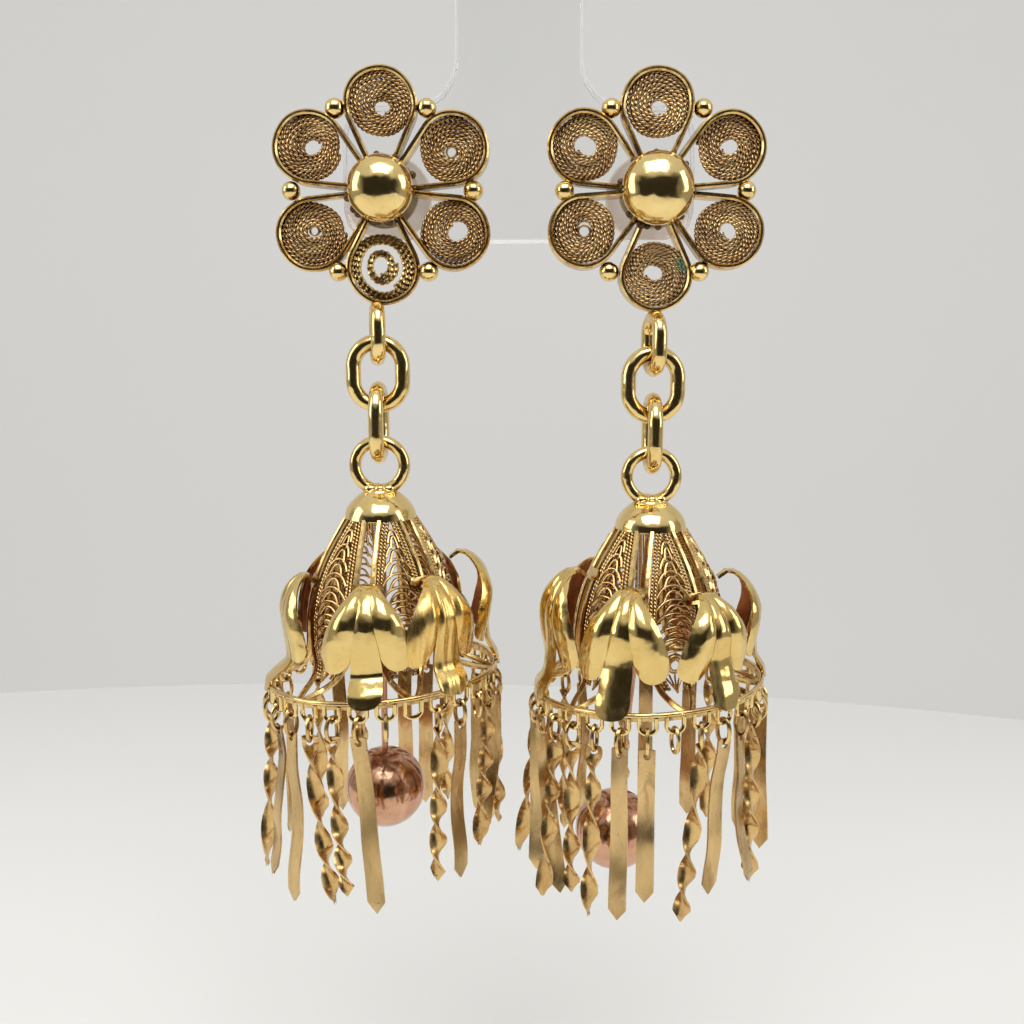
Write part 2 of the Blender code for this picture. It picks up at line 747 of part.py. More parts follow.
def earring(name, group):
    spec = EARRINGS[name]
    post_z = -NECK_RISE - BAR_HEIGHT + POST_UP
    place = Vector((spec["side"] * PAIR_SPACING / 2, petal_plane(), post_z))
    rosette(name, spec, group, place)
    ear_nut(name, group, place)
    loop_low = post_z - PETAL_CIRCLE - PETAL_RADIUS - LOOP_WIRE + 2 * BITE - spec["loop_height"]
    upper_top = loop_low + LOOP_WIRE + LINK_WIRE + LINK_GAP
    hang = place.x + spec["loop_side"]
    pivot = Vector((hang, place.y, upper_top))
    drop = pivot_empty(name + "_drop_pivot", pivot, group)
    upper = wire(oval(UPPER_WIDTH, UPPER_HEIGHT), LINK_WIRE, closed=True)
    moved(upper, Matrix.Translation(pivot) @ shift(z=-UPPER_HEIGHT / 2))
    finish(upper, name + "_upper_link", "polished_gold", group, pivot, drop)
    lower_top = upper_top - UPPER_HEIGHT + 2 * LINK_WIRE + LINK_GAP
    middle = Vector((hang, place.y, lower_top - LOWER_HEIGHT / 2))
    lower = wire(oval(LOWER_WIDTH, LOWER_HEIGHT), LINK_WIRE, closed=True)
    moved(lower, Matrix.Translation(middle) @ turn("Z", 90))
    finish(lower, name + "_lower_link", "polished_gold", group, middle, drop)
    ring_top = lower_top - LOWER_HEIGHT + LINK_WIRE + RING_WIRE + LINK_GAP
    ring_middle = Vector((hang, place.y, ring_top - RING_RADIUS))
    bell_top, eye_middle = bell(name, spec, group, drop, ring_middle)
    fringe(name, spec, group, drop, bell_top)
    ball(name, spec, group, drop, eye_middle)


def main():
    clear_scene()
    group = new_collection("drop_earrings_on_display_bar")
    display_bar(group)
    for name in EARRINGS:
        earring(name, group)
    bpy.context.view_layer.update()


main()
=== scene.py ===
"""Looks of a pair of filigree drop earrings on a clear display bar.

Lengths in this script are millimetres, turned into metres where a mesh, light or camera is made.
"""

import json
import math

import bmesh
import bpy
import numpy as np
from mathutils import Matrix, Vector


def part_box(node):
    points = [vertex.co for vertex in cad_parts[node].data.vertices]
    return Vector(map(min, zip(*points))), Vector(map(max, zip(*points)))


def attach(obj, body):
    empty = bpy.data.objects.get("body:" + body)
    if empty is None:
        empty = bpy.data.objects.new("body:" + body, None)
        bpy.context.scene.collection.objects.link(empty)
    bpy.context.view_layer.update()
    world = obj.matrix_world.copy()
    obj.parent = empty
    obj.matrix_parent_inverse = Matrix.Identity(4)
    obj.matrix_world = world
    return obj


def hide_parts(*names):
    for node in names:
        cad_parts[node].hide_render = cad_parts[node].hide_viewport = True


MM = 0.001
TAU = 2 * math.pi

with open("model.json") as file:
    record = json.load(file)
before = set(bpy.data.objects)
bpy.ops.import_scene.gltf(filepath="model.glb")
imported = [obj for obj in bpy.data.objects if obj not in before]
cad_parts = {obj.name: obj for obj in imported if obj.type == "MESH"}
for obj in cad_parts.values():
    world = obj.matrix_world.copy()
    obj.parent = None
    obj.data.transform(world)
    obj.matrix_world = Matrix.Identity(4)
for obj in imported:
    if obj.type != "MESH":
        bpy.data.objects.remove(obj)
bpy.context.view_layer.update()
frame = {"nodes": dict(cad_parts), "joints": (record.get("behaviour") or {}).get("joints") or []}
JOINTS = {joint["name"]: np.array(joint["pos_m"]) / MM for joint in frame["joints"]}

# Sizes shared with the solids
LOOP_WIDTH, LOOP_WIRE = 3.1, 0.6
LINK_WIRE, LINK_GAP = 0.62, 0.12
UPPER_WIDTH, UPPER_HEIGHT = 4.0, 5.15
LOWER_WIDTH, LOWER_HEIGHT = 4.0, 5.5
RING_RADIUS, RING_WIRE, RING_SUNK = 2.02, 0.5, 0.75
PETAL_CIRCLE, PETAL_RADIUS, PETAL_FOOT = 6.5, 2.93, 1.4
RIBBON, RIBBON_DEPTH = 0.42, 1.7
BEAD_RADIUS, HUB_THICK, DOME_RISE = 0.8, 2.6, 2.0
CAP_RADIUS, CAP_HEIGHT, CAP_WALL = 2.95, 2.4, 0.35
BELL_DROP, RIM_RADIUS = 13.2, 9.4
EYE_RADIUS, EYE_WIRE = 0.9, 0.25
STAPLES, STAPLE_DROP, STRIP_START = 28, 1.3, 1.85
STRIP_WIDTH, STRIP_THICK, STRIP_POINT = 1.45, 0.17, 0.5
STRIP_LENGTH = 13.7
BALL_RADIUS, STEM_WIRE = 3.4, 0.28
BITE = 0.12

# The two earrings: the dome's radius, the fixed loop's height and place beside the middle, the panels'
# and staples' turn about the bell, the rim's tilt, how the ball hangs, and the seed of the hand-made
# detail
EARRINGS = {
    "left": dict(
        dome=2.6, loop_height=3.3, loop_side=-0.65, panel_turn=22.0, staple_turn=-5.0, rim_tilt=3.6,
        stem=23.5, ball_lean=0.0, seed=3,
    ),
    "right": dict(
        dome=2.85, loop_height=4.2, loop_side=0.15, panel_turn=13.0, staple_turn=-7.0, rim_tilt=4.0,
        stem=26.6, ball_lean=5.5, seed=8,
    ),
}

# The strips: staple counted round from the front, turns of the twist, length as a share of STRIP_LENGTH,
# sideways lean and outward splay in degrees, turn about its own length in degrees, and inward bow as a
# share of its length
STRIPS = {
    "left": (
        (-5, 1.6, 0.96, -1.0, 3.5, 0, 0.00),
        (-4, 0.0, 0.95, -2.5, 3.5, 0, 0.02),
        (-3, 0.0, 1.06, -0.5, 0.5, 0, 0.02),
        (-2, 1.8, 1.02, 7.0, -2.0, 0, 0.00),
        (-1, 2.0, 0.95, 4.0, 0.0, 0, 0.00),
        (0, 0.0, 1.06, 4.5, 0.0, -5, 0.05),
        (3, 1.8, 0.94, -1.0, 0.0, 0, 0.00),
        (4, 0.0, 0.98, -0.5, 0.0, 5, 0.02),
        (6, 2.0, 0.94, 0.5, -4.0, 0, 0.00),
        (7, 0.0, 0.92, 0.0, -5.0, 75, -0.05),
        (8, 1.5, 0.92, 0.5, 2.0, 20, 0.00),
        (9, 0.0, 0.96, 0.5, 1.5, 60, 0.02),
        (10, 0.0, 1.00, -0.5, 0.0, 10, 0.03),
        (12, 1.8, 0.96, 0.0, 0.0, 0, 0.00),
        (13, 0.0, 1.00, 1.0, 0.0, 10, 0.02),
        (14, 0.0, 0.94, 0.0, 0.0, 0, 0.03),
        (16, 1.8, 1.00, 0.5, 0.0, 10, 0.00),
        (17, 0.0, 0.98, 0.0, 0.0, 0, 0.02),
        (18, 1.5, 0.98, 0.5, 0.0, 10, 0.00),
        (20, 0.0, 0.96, 0.0, 1.0, 10, 0.02),
    ),
    "right": (
        (-7, 1.5, 0.96, 0.0, 6.5, 0, 0.00),
        (-6, 0.0, 0.98, 1.0, 0.0, 70, 0.02),
        (-5, 0.0, 1.06, 3.0, -5.0, 75, 0.02),
        (-4, 1.8, 1.04, -3.0, 2.5, 0, 0.00),
        (-3, 1.6, 0.94, 0.0, 0.0, 0, 0.00),
        (-2, 1.9, 1.06, -1.5, 0.0, 0, 0.00),
        (-1, 0.0, 1.04, 0.0, 0.0, 3, 0.01),
        (0, 0.0, 0.93, 0.0, 0.0, 0, 0.02),
        (2, 1.9, 1.06, -5.5, 0.0, 0, 0.00),
        (3, 0.0, 0.94, -4.5, 0.0, 0, 0.02),
        (4, 0.0, 0.96, 5.0, 1.5, 10, 0.02),
        (5, 1.8, 1.00, 2.0, 0.0, 0, 0.00),
        (7, 0.0, 0.94, 0.0, 2.0, 75, 0.02),
        (8, 1.5, 1.00, 0.5, 0.0, 0, 0.00),
        (9, 0.0, 0.98, 0.0, 0.0, 10, 0.02),
        (11, 1.8, 0.99, 0.0, 0.0, 0, 0.00),
        (12, 0.0, 1.00, 0.0, 0.0, 10, 0.02),
        (14, 0.0, 0.98, -0.5, 0.0, 0, 0.03),
        (15, 1.8, 0.96, 0.0, 0.0, 10, 0.00),
        (17, 0.0, 0.97, 0.5, 0.0, 20, 0.02),
        (18, 1.8, 1.00, 0.0, 0.0, 0, 0.00),
        (20, 0.0, 1.00, 0.5, 0.0, 15, 0.02),
    ),
}

# Staples that carry an empty jump ring
EMPTY_RINGS = {"left": (-7, -6, 1, 5), "right": (1, 6)}

# Body of the bell: share of BELL_DROP, radius, half width of a panel
BODY = np.array(
    [
        (-0.02, 2.55, 0.74),
        (0.00, 2.72, 0.82),
        (0.08, 3.38, 1.16),
        (0.16, 4.02, 1.46),
        (0.25, 4.66, 1.78),
        (0.34, 5.18, 2.02),
        (0.45, 5.66, 2.22),
        (0.57, 5.98, 2.34),
        (0.69, 6.10, 2.30),
        (0.79, 6.14, 2.02),
        (0.87, 6.25, 1.55),
        (0.94, 7.10, 1.10),
        (0.98, 8.40, 0.60),
        (1.00, 9.20, 0.16),
    ]
)

# Profile of a leaf: share of its length, radius, height under the cap, half width over the lobes, half
# width of the middle lobe and its tongue
LEAF = np.array(
    [
        (0.00, 5.70, -3.70, 0.46, 0.30),
        (0.04, 6.25, -3.22, 0.56, 0.34),
        (0.09, 6.90, -3.22, 0.74, 0.36),
        (0.17, 7.78, -3.90, 1.28, 0.42),
        (0.24, 8.36, -4.70, 1.96, 0.48),
        (0.31, 8.72, -5.45, 2.48, 0.56),
        (0.38, 8.93, -6.20, 2.87, 0.66),
        (0.48, 8.96, -7.20, 3.30, 0.82),
        (0.57, 8.86, -8.15, 3.56, 0.98),
        (0.66, 8.68, -9.10, 3.70, 1.10),
        (0.74, 8.48, -9.95, 3.68, 1.18),
        (0.81, 8.38, -10.75, 3.56, 1.22),
        (0.85, 8.50, -11.20, 3.40, 1.22),
        (0.89, 8.95, -11.65, 3.20, 1.30),
        (0.94, 9.46, -12.30, 3.10, 1.33),
        (1.00, 9.70, -13.42, 3.00, 1.36),
    ]
)
# Shares of the leaf's length where the lobes part from the tongue, start to round off and end
NOTCH, LOBE_ROUND, LOBE_END = 0.50, 0.665, 0.80
LEAF_WALL = 0.22

# Cap: share of its height, radius as a share of CAP_RADIUS
CAP = np.array(
    [(0.0, 1.0), (0.12, 0.985), (0.3, 0.93), (0.5, 0.82)]
    + [(0.7, 0.65), (0.85, 0.48), (0.95, 0.34), (1.0, 0.001)]
)
# Solder between ring and cap: sideways and forward place, radius
CAP_SOLDER = ((-0.72, -0.1, 0.66), (0.72, -0.1, 0.62), (0.072, -0.3, 0.6))
CAP_SOLDER += ((-0.288, 0.25, 0.6), (0.36, 0.2, 0.55))

# Filigree of a panel: the ribbons at its sides, the twisted wires inside them, the arcs down its middle
# as shares of BELL_DROP, and the small rings and rays under them
PANEL_BAR = (0.46, 0.42)
ROPE_INSETS, ROPE_RADIUS, ROPE_PITCH = (0.40, 0.70), 0.155, 0.60
ARC_PLACES = (0.06, 0.14, 0.22, 0.30, 0.38, 0.46, 0.54, 0.61, 0.68)
ARC_BAR, ARC_SAG, ARC_INSET = (0.17, 0.46), 0.07, 0.62
RING_PLACE, RING_SIZES, FINE_PITCH = 0.775, (0.62, 0.42), 0.34
RAY_PLACE, RAY_SPREAD = 0.83, 0.95
# The panels are set by hand, and the two at the back sit a little further round
BACK_PANELS_TURN = 6.0

# The leaves: angle from the front, how much lower the top sits, width, sideways lean of the tongue,
# ridges, how much less it bulges, and how sharply the tongue is creased
LEAVES = {
    "left": (
        (-73, 1.4, 1.00, 0.1, 0.00, 0.85, 1.0),
        (-2, 1.4, 1.00, 0.05, 0.00, 0.00, 1.0),
        (41, 1.2, 1.02, 0.2, 0.05, 0.00, 0.6),
        (95, 0.0, 0.96, 0.0, 0.02, 0.00, 0.5),
        (155, 0.4, 0.98, -0.1, 0.04, 0.00, 0.8),
        (222, 0.5, 1.00, 0.1, 0.00, 0.00, 0.8),
    ),
    "right": (
        (-75, 0.0, 0.98, 0.1, 0.02, 0.20, 0.4),
        (-21, 0.9, 1.03, -0.55, 0.00, 0.00, 0.1),
        (32, 1.5, 0.98, 0.1, 0.025, 0.00, 0.1),
        (88, 0.7, 0.96, 0.0, 0.02, 0.00, 0.5),
        (150, 0.4, 1.00, 0.1, 0.00, 0.00, 0.5),
        (215, 0.5, 1.00, -0.1, 0.04, 0.00, 0.5),
    ),
}


def smooth_table(table, column, share):
    """Smooth curve through one column of a table whose first column is the share."""
    xs, ys = table[:, 0], table[:, column]
    slopes = np.gradient(ys, xs)
    share = np.clip(share, xs[0], xs[-1])
    i = np.clip(np.searchsorted(xs, share) - 1, 0, len(xs) - 2)
    width = xs[i + 1] - xs[i]
    t = (share - xs[i]) / width
    a = (1 + 2 * t) * (1 - t) ** 2 * ys[i] + t * (1 - t) ** 2 * width * slopes[i]
    return a + t**2 * (3 - 2 * t) * ys[i + 1] + t**2 * (t - 1) * width * slopes[i + 1]


def sides_of(path, facing, closed=False):
    """Unit directions across a path and out of it, the second nearest to the way it faces."""
    along = np.roll(path, -1, 0) - np.roll(path, 1, 0) if closed else np.gradient(path, axis=0)
    along /= np.linalg.norm(along, axis=1)[:, None] + 1e-12
    across = np.cross(along, facing)
    across /= np.linalg.norm(across, axis=1)[:, None] + 1e-12
    return across, np.cross(across, along)


class Shape:
    """Collects points and faces of many small pieces into one mesh."""

    def __init__(self):
        self.points, self.faces, self.count = [], [], 0

    def add(self, points, faces):
        points = np.asarray(points, float).reshape(-1, 3)
        self.points.append(points)
        self.faces.append(np.asarray(faces, int) + self.count)
        self.count += len(points)

    def grid(self, points, wrap_rows=False, wrap_columns=False, cap=False):
        """Quads over a (rows, columns, 3) array of points."""
        rows, columns = points.shape[:2]
        r = np.arange(rows if wrap_rows else rows - 1)
        c = np.arange(columns if wrap_columns else columns - 1)
        r, c = np.meshgrid(r, c, indexing="ij")
        r2, c2 = (r + 1) % rows, (c + 1) % columns
        quads = np.stack([r * columns + c, r * columns + c2, r2 * columns + c2, r2 * columns + c], -1)
        start = self.count
        self.add(points, quads.reshape(-1, 4))
        if cap:
            for row, turn in ((0, 1), (rows - 1, -1)):
                ring = start + row * columns + np.arange(columns)[::-turn]
                self.faces.append(ring.reshape(1, -1))

    def tube(self, path, radius, sides=8, closed=False, reference=(0, 0, 1)):
        """Round wire along a path."""
        path = np.asarray(path, float)
        across, up = sides_of(path, reference, closed)
        angles = TAU * np.arange(sides) / sides
        ring = across[:, None] * np.cos(angles)[:, None] + up[:, None] * np.sin(angles)[:, None]
        self.grid(path[:, None] + radius * ring, wrap_rows=closed, wrap_columns=True, cap=not closed)

    def bar(self, path, width, depth, out, closed=False, rounding=0.25):
        """Flat ribbon along a path: width across it, depth along the direction out."""
        across, out = sides_of(path, out, closed)
        w, d = width / 2, depth / 2
        r = rounding * min(width, depth)
        corners = [(w, d - r), (w - r, d), (r - w, d), (-w, d - r)]
        corners += [(-w, r - d), (r - w, -d), (w - r, -d), (w, r - d)]
        section = [across[:, None] * a + out[:, None] * b for a, b in corners]
        self.grid(path[:, None] + np.concatenate(section, 1), closed, True, not closed)

    def ball(self, middle, radius, columns=20, rows=12, squash=1.0):
        lat = np.linspace(-math.pi / 2, math.pi / 2, rows + 1)[1:-1]
        points = turned_rows(np.stack([np.cos(lat), squash * np.sin(lat)], 1) * radius, columns)
        start = self.count
        self.grid(points + middle, wrap_columns=True)
        self.points.append(np.array([(0, 0, -radius * squash), (0, 0, radius * squash)]) + middle)
        self.count += 2
        low, high = start + len(lat) * columns, start + len(lat) * columns + 1
        ring = np.arange(columns)
        nxt = (ring + 1) % columns
        self.faces.append(np.stack([start + nxt, start + ring, np.full(columns, low)], 1))
        last = start + (len(lat) - 1) * columns
        self.faces.append(np.stack([last + ring, last + nxt, np.full(columns, high)], 1))

    def rope(self, path, radius, pitch, out, sides=5, per_turn=7, phase=0.0):
        """Twisted wire: two strands wound round each other along a path lying on a surface that faces out."""
        out = np.broadcast_to(np.asarray(out, float), path.shape)
        step = np.linalg.norm(np.diff(path, axis=0), axis=1)
        length = np.concatenate([[0], np.cumsum(step)])
        count = max(8, int(length[-1] / pitch * per_turn))
        where = np.linspace(0, length[-1], count)
        middle = np.stack([np.interp(where, length, path[:, k]) for k in range(3)], 1)
        facing = np.stack([np.interp(where, length, out[:, k]) for k in range(3)], 1)
        across, up = sides_of(middle, facing)
        strand = radius * 0.56
        for k in range(2):
            angle = (TAU * where / pitch + phase + TAU * k / 2)[:, None]
            spiral = middle + (radius - strand) * (np.cos(angle) * across + np.sin(angle) * up)
            self.tube(spiral, strand, sides, reference=up)

    def transform(self, matrix):
        matrix = np.array(matrix)
        self.points = [p @ matrix[:3, :3].T + matrix[:3, 3] for p in self.points]
        return self

    def map(self, change):
        self.points = [change(p) for p in self.points]
        return self

    def join(self, other):
        self.points += other.points
        for faces in other.faces:
            self.faces.append(faces + self.count)
        self.count += other.count
        return self

    def object(self, name, material, bodies, replaced, slot, sharp=40):
        data = bpy.data.meshes.new(name)
        points = np.concatenate(self.points) * MM
        faces = [face for block in self.faces for face in block.tolist()]
        data.from_pydata(points.tolist(), [], faces)
        data.update()
        data.shade_smooth()
        data.set_sharp_from_angle(angle=math.radians(sharp))
        data.materials.append(MATERIALS[material])
        obj = placed(name, data)
        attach(obj, bodies)
        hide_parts(replaced)


def placed(name, data):
    obj = bpy.data.objects.new(name, data)
    bpy.context.scene.collection.objects.link(obj)
    return obj


def turn(axis, degrees):
    return Matrix.Rotation(math.radians(degrees), 4, axis)


def shift(x=0.0, y=0.0, z=0.0):
    return Matrix.Translation((x, y, z))


def oval(width, height, count=56):
    """Closed path of a link in the XZ plane, about its own middle."""
    radius = width / 2
    rise = height / 2 - radius
    angles = TAU * (np.arange(count) + 0.5) / count
    up = np.where(np.sin(angles) > 0, rise, -rise)
    return np.stack([radius * np.cos(angles), np.zeros(count), radius * np.sin(angles) + up], 1)


def turned_rows(profile, count):
    """Rows of points of a (radius, height) profile turned about Z."""
    angles = TAU * np.arange(count) / count
    radius, height = np.array(profile).T[..., None]
    return np.stack([radius * np.cos(angles), radius * np.sin(angles), height + 0 * angles], -1)


def torus(major, minor, columns=22, sides=8, rise=None):
    """Ring about Y; with a rise it is an oval that much high on each side."""
    angles = TAU * np.arange(columns) / columns
    path = np.stack([major * np.cos(angles), 0 * angles, (rise or major) * np.sin(angles)], 1)
    shape = Shape()
    shape.tube(path, minor, sides, closed=True, reference=(0, 1, 0))
    return shape


# Materials


def nodes_of(name):
    """A material with its node tree, its shader and its texture coordinates."""
    material = bpy.data.materials.new(name)
    material.use_nodes = True
    tree = material.node_tree
    return material, tree, tree.nodes["Principled BSDF"], tree.nodes.new("ShaderNodeTexCoord")


def node(tree, kind, **inputs):
    made = tree.nodes.new(kind)
    for key, value in inputs.items():
        made.inputs[key.replace("_", " ")].default_value = value
    return made


def noise(tree, place, scale, detail=4.0, distortion=0.0):
    made = node(tree, "ShaderNodeTexNoise", Scale=scale, Detail=detail, Distortion=distortion)
    source = "Object" if "Object" in place.outputs else "Vector"
    tree.links.new(place.outputs[source], made.inputs["Vector"])
    return made.outputs["Fac"]


def ramp(tree, value, stops):
    made = tree.nodes.new("ShaderNodeValToRGB")
    tree.links.new(value, made.inputs["Fac"])
    while len(made.color_ramp.elements) < len(stops):
        made.color_ramp.elements.new(0.5)
    for element, (place, colour) in zip(made.color_ramp.elements, stops):
        element.position = place
        element.color = (*colour, 1.0) if len(colour) == 3 else colour
    return made.outputs["Color"]


def blend(tree, share, first, second):
    made = tree.nodes.new("ShaderNodeMix")
    made.data_type = "RGBA"
    for socket, value in ((made.inputs[0], share), (made.inputs[6], first), (made.inputs[7], second)):
        if hasattr(value, "node"):
            tree.links.new(value, socket)
        else:
            socket.default_value = value if isinstance(value, float) else (*value, 1.0)
    return made.outputs[2]


def calculate(tree, operation, *values):
    made = tree.nodes.new("ShaderNodeMath")
    made.operation = operation
    for socket, value in zip(made.inputs, values):
        if hasattr(value, "node"):
            tree.links.new(value, socket)
        else:
            socket.default_value = value
    return made.outputs["Value"]


def map_range(tree, value, low, high, to_low=0.0, to_high=1.0):
    made = node(tree, "ShaderNodeMapRange")
    tree.links.new(value, made.inputs["Value"])
    for key, number in (("From Min", low), ("From Max", high), ("To Min", to_low), ("To Max", to_high)):
        made.inputs[key].default_value = number
    return made.outputs["Result"]


def gold(
    name, bright, deep, tarnish_and_shade, rough, crevice_shade=0.5, spots=0.3, bump=0.15, grain=900.0, stretch=1.0, spot=None
):
    """Worn gold: two tones in clouds, tarnish in spots, tarnish and painted shade in hollows, fine scratches and
    dents.
    """
    material, tree, shader, coordinates = nodes_of(name)
    place = tree.nodes.new("ShaderNodeMapping")
    place.inputs["Scale"].default_value = (1.0, 1.0, stretch)
    tree.links.new(coordinates.outputs["Object"], place.inputs["Vector"])
    clouds = noise(tree, place, grain * 0.6, 5.0, 0.4)
    colour = blend(tree, map_range(tree, clouds, 0.35, 0.68), bright, deep)
    spotted = noise(tree, place, grain * 1.7, 6.0, 1.2)
    colour = blend(tree, map_range(tree, spotted, 0.56, 0.72, 0.0, spots), colour, tarnish_and_shade)
    # Painted shade: where the occlusion node finds hollows and nearby parts, the tarnish tone is blended in as
    # shade would fall there; it stands also for tarnish in the hollows
    hollow = node(tree, "ShaderNodeAmbientOcclusion", Distance=1.0 * MM)
    hollow.samples = 6
    depth = map_range(tree, hollow.outputs["AO"], 0.22, 0.90, crevice_shade, 0.0)
    colour = blend(tree, depth, colour, tarnish_and_shade)
    if spot:
        middle, inner, outer = spot
        away = tree.nodes.new("ShaderNodeVectorMath")
        away.operation = "DISTANCE"
        tree.links.new(coordinates.outputs["Object"], away.inputs[0])
        away.inputs[1].default_value = tuple(Vector(middle) * MM)
        near = map_range(tree, away.outputs["Value"], inner * MM, outer * MM, 1.0, 0.0)
        patchy = map_range(tree, noise(tree, place, 1600.0, 4.0), 0.36, 0.50, 0.0, 0.9)
        both = calculate(tree, "MULTIPLY", near, patchy)
        colour = blend(tree, both, colour, VERDIGRIS)
        tree.links.new(calculate(tree, "SUBTRACT", 1.0, both), shader.inputs["Metallic"])
    else:
        shader.inputs["Metallic"].default_value = 1.0
    tree.links.new(colour, shader.inputs["Base Color"])
    fine = noise(tree, place, grain * 3.0, 3.0)
    gloss = map_range(tree, fine, 0.3, 0.7, rough * 0.75, rough * 1.35)
    tree.links.new(gloss, shader.inputs["Roughness"])
    dents = node(tree, "ShaderNodeBump", Strength=0.9, Distance=0.22 * MM)
    tree.links.new(noise(tree, place, 420.0, 2.0), dents.inputs["Height"])
    lumps = node(tree, "ShaderNodeBump", Strength=bump, Distance=0.05 * MM)
    tree.links.new(dents.outputs["Normal"], lumps.inputs["Normal"])
    tree.links.new(noise(tree, place, grain * 1.2, 4.0), lumps.inputs["Height"])
    tree.links.new(lumps.outputs["Normal"], shader.inputs["Normal"])
    return material


def clear(name):
    """Clear polished plastic, whose narrow sides are cut and only half polished; they also get a painted glow
    that stands for light caught in the edges.
    """
    material, tree, shader, place = nodes_of(name)
    haze = noise(tree, place, 260.0, 5.0, 0.5)
    colour = blend(tree, map_range(tree, haze, 0.3, 0.7), (0.985, 0.99, 0.99), (0.96, 0.97, 0.97))
    tree.links.new(colour, shader.inputs["Base Color"])
    split = tree.nodes.new("ShaderNodeSeparateXYZ")
    tree.links.new(place.outputs["Normal"], split.inputs["Vector"])
    side = map_range(tree, calculate(tree, "ABSOLUTE", split.outputs["Y"]), 0.35, 0.95, 1.0, 0.0)
    streaks = noise(tree, place, 1500.0, 4.0, 2.0)
    shader.inputs["IOR"].default_value = 1.35
    tree.links.new(map_range(tree, side, 0.0, 1.0, 1.0, 0.5), shader.inputs["Transmission Weight"])
    # Painted light: the narrow sides glow white, standing for light caught in the bar's edges
    shader.inputs["Emission Color"].default_value = (1.0, 1.0, 1.0, 1.0)
    tree.links.new(map_range(tree, side, 0.0, 1.0, 0.0, 0.14), shader.inputs["Emission Strength"])
    rough = calculate(tree, "MULTIPLY_ADD", side, 0.28, map_range(tree, streaks, 0.35, 0.75, 0.0, 0.05))
    tree.links.new(rough, shader.inputs["Roughness"])
    return material


def pale(name):
    """Pale satin plastic or plated metal, seen only through the clear bar; it glows a little, painted light that
    makes up for the shadow the bar casts on it.
    """
    material, tree, shader, place = nodes_of(name)
    clouds = noise(tree, place, 500.0, 4.0, 0.5)
    colour = blend(tree, map_range(tree, clouds, 0.35, 0.65), (0.80, 0.70, 0.62), (0.70, 0.59, 0.50))
    tree.links.new(colour, shader.inputs["Base Color"])
    # Painted light: the nut glows in its own colour, lifting it out of the bar's shadow
    tree.links.new(colour, shader.inputs["Emission Color"])
    shader.inputs["Emission Strength"].default_value = 0.34
    tree.links.new(map_range(tree, clouds, 0.3, 0.7, 0.35, 0.5), shader.inputs["Roughness"])
    return material


def silver(name):
    material, tree, shader, place = nodes_of(name)
    clouds = noise(tree, place, 900.0, 5.0, 0.5)
    colour = blend(tree, map_range(tree, clouds, 0.35, 0.65), (0.86, 0.84, 0.80), (0.66, 0.63, 0.58))
    tree.links.new(colour, shader.inputs["Base Color"])
    shader.inputs["Metallic"].default_value = 0.6
    tree.links.new(map_range(tree, clouds, 0.3, 0.7, 0.35, 0.55), shader.inputs["Roughness"])
    return material


# Place of the verdigris on the right rosette, with the radii where it starts to fade and ends
GREEN_SPOT = ((13.3, -3.2, -21.9), 0.35, 1.05)
VERDIGRIS = (0.03, 0.22, 0.13)
DARK = (0.045, 0.022, 0.012)
# Bright and deep tones, a tone for tarnish spots and for tarnish and painted shade in hollows, roughness, how
# strongly crevices get painted shade, spots, bump, grain, stretch and a green spot
GOLDS = {
    "left_coils": ((0.66, 0.43, 0.19), (0.36, 0.20, 0.085), DARK, 0.26, 0.92, 0.5),
    "right_coils": (
        (0.74, 0.50, 0.23), (0.42, 0.25, 0.12), DARK, 0.26, 0.88, 0.5, 0.15, 900.0, 1.0, GREEN_SPOT
    ),
    "edge_gold": ((0.86, 0.62, 0.26), (0.64, 0.41, 0.16), (0.09, 0.045, 0.02), 0.20, 0.85, 0.45, 0.7),
    "polished_gold": ((0.88, 0.67, 0.29), (0.82, 0.59, 0.23), (0.20, 0.10, 0.035), 0.12, 0.65, 0.12, 0.06),
    "leaf_gold": ((0.81, 0.60, 0.24), (0.74, 0.52, 0.18), (0.24, 0.12, 0.04), 0.15, 0.65, 0.14, 0.10),
    "brushed_gold": (
        (0.88, 0.64, 0.24), (0.78, 0.50, 0.15), (0.26, 0.11, 0.03), 0.24, 0.65, 0.25, 0.5, 1300.0, 0.12
    ),
    "filigree_gold": ((0.92, 0.66, 0.29), (0.70, 0.44, 0.17), (0.10, 0.035, 0.015), 0.20, 0.85, 0.2),
    # Painted shade: the leaves' backs, facing into the bell, get a darker and redder copy of the leaf gold
    "inner_shade_red": ((0.42, 0.16, 0.07), (0.28, 0.09, 0.035), (0.08, 0.025, 0.012), 0.36, 0.7),
    "satin_gold": ((0.75, 0.52, 0.24), (0.38, 0.25, 0.10), (0.20, 0.12, 0.06), 0.26, 0.5, 0.5, 0.2, 480.0, 0.35),
    "brass_strip": ((0.76, 0.51, 0.21), (0.52, 0.32, 0.12), (0.20, 0.11, 0.05), 0.25, 0.6, 0.4, 0.2, 600.0, 0.6),
    "rose_gold": ((0.68, 0.40, 0.26), (0.54, 0.28, 0.17), (0.24, 0.09, 0.05), 0.17, 0.5, 0.25, 0.10),
    "tarnish_and_shade": ((0.16, 0.09, 0.045), (0.08, 0.045, 0.025), (0.03, 0.018, 0.012), 0.42, 0.5),
}
MATERIALS = {name: gold(name, *row) for name, row in GOLDS.items()}
for maker, made_name in ((pale, "pale_nut"), (silver, "silver_disc"), (clear, "clear_acrylic")):
    MATERIALS[made_name] = maker(made_name)


# Rosette, modelled facing +Z and then stood up to face -Y


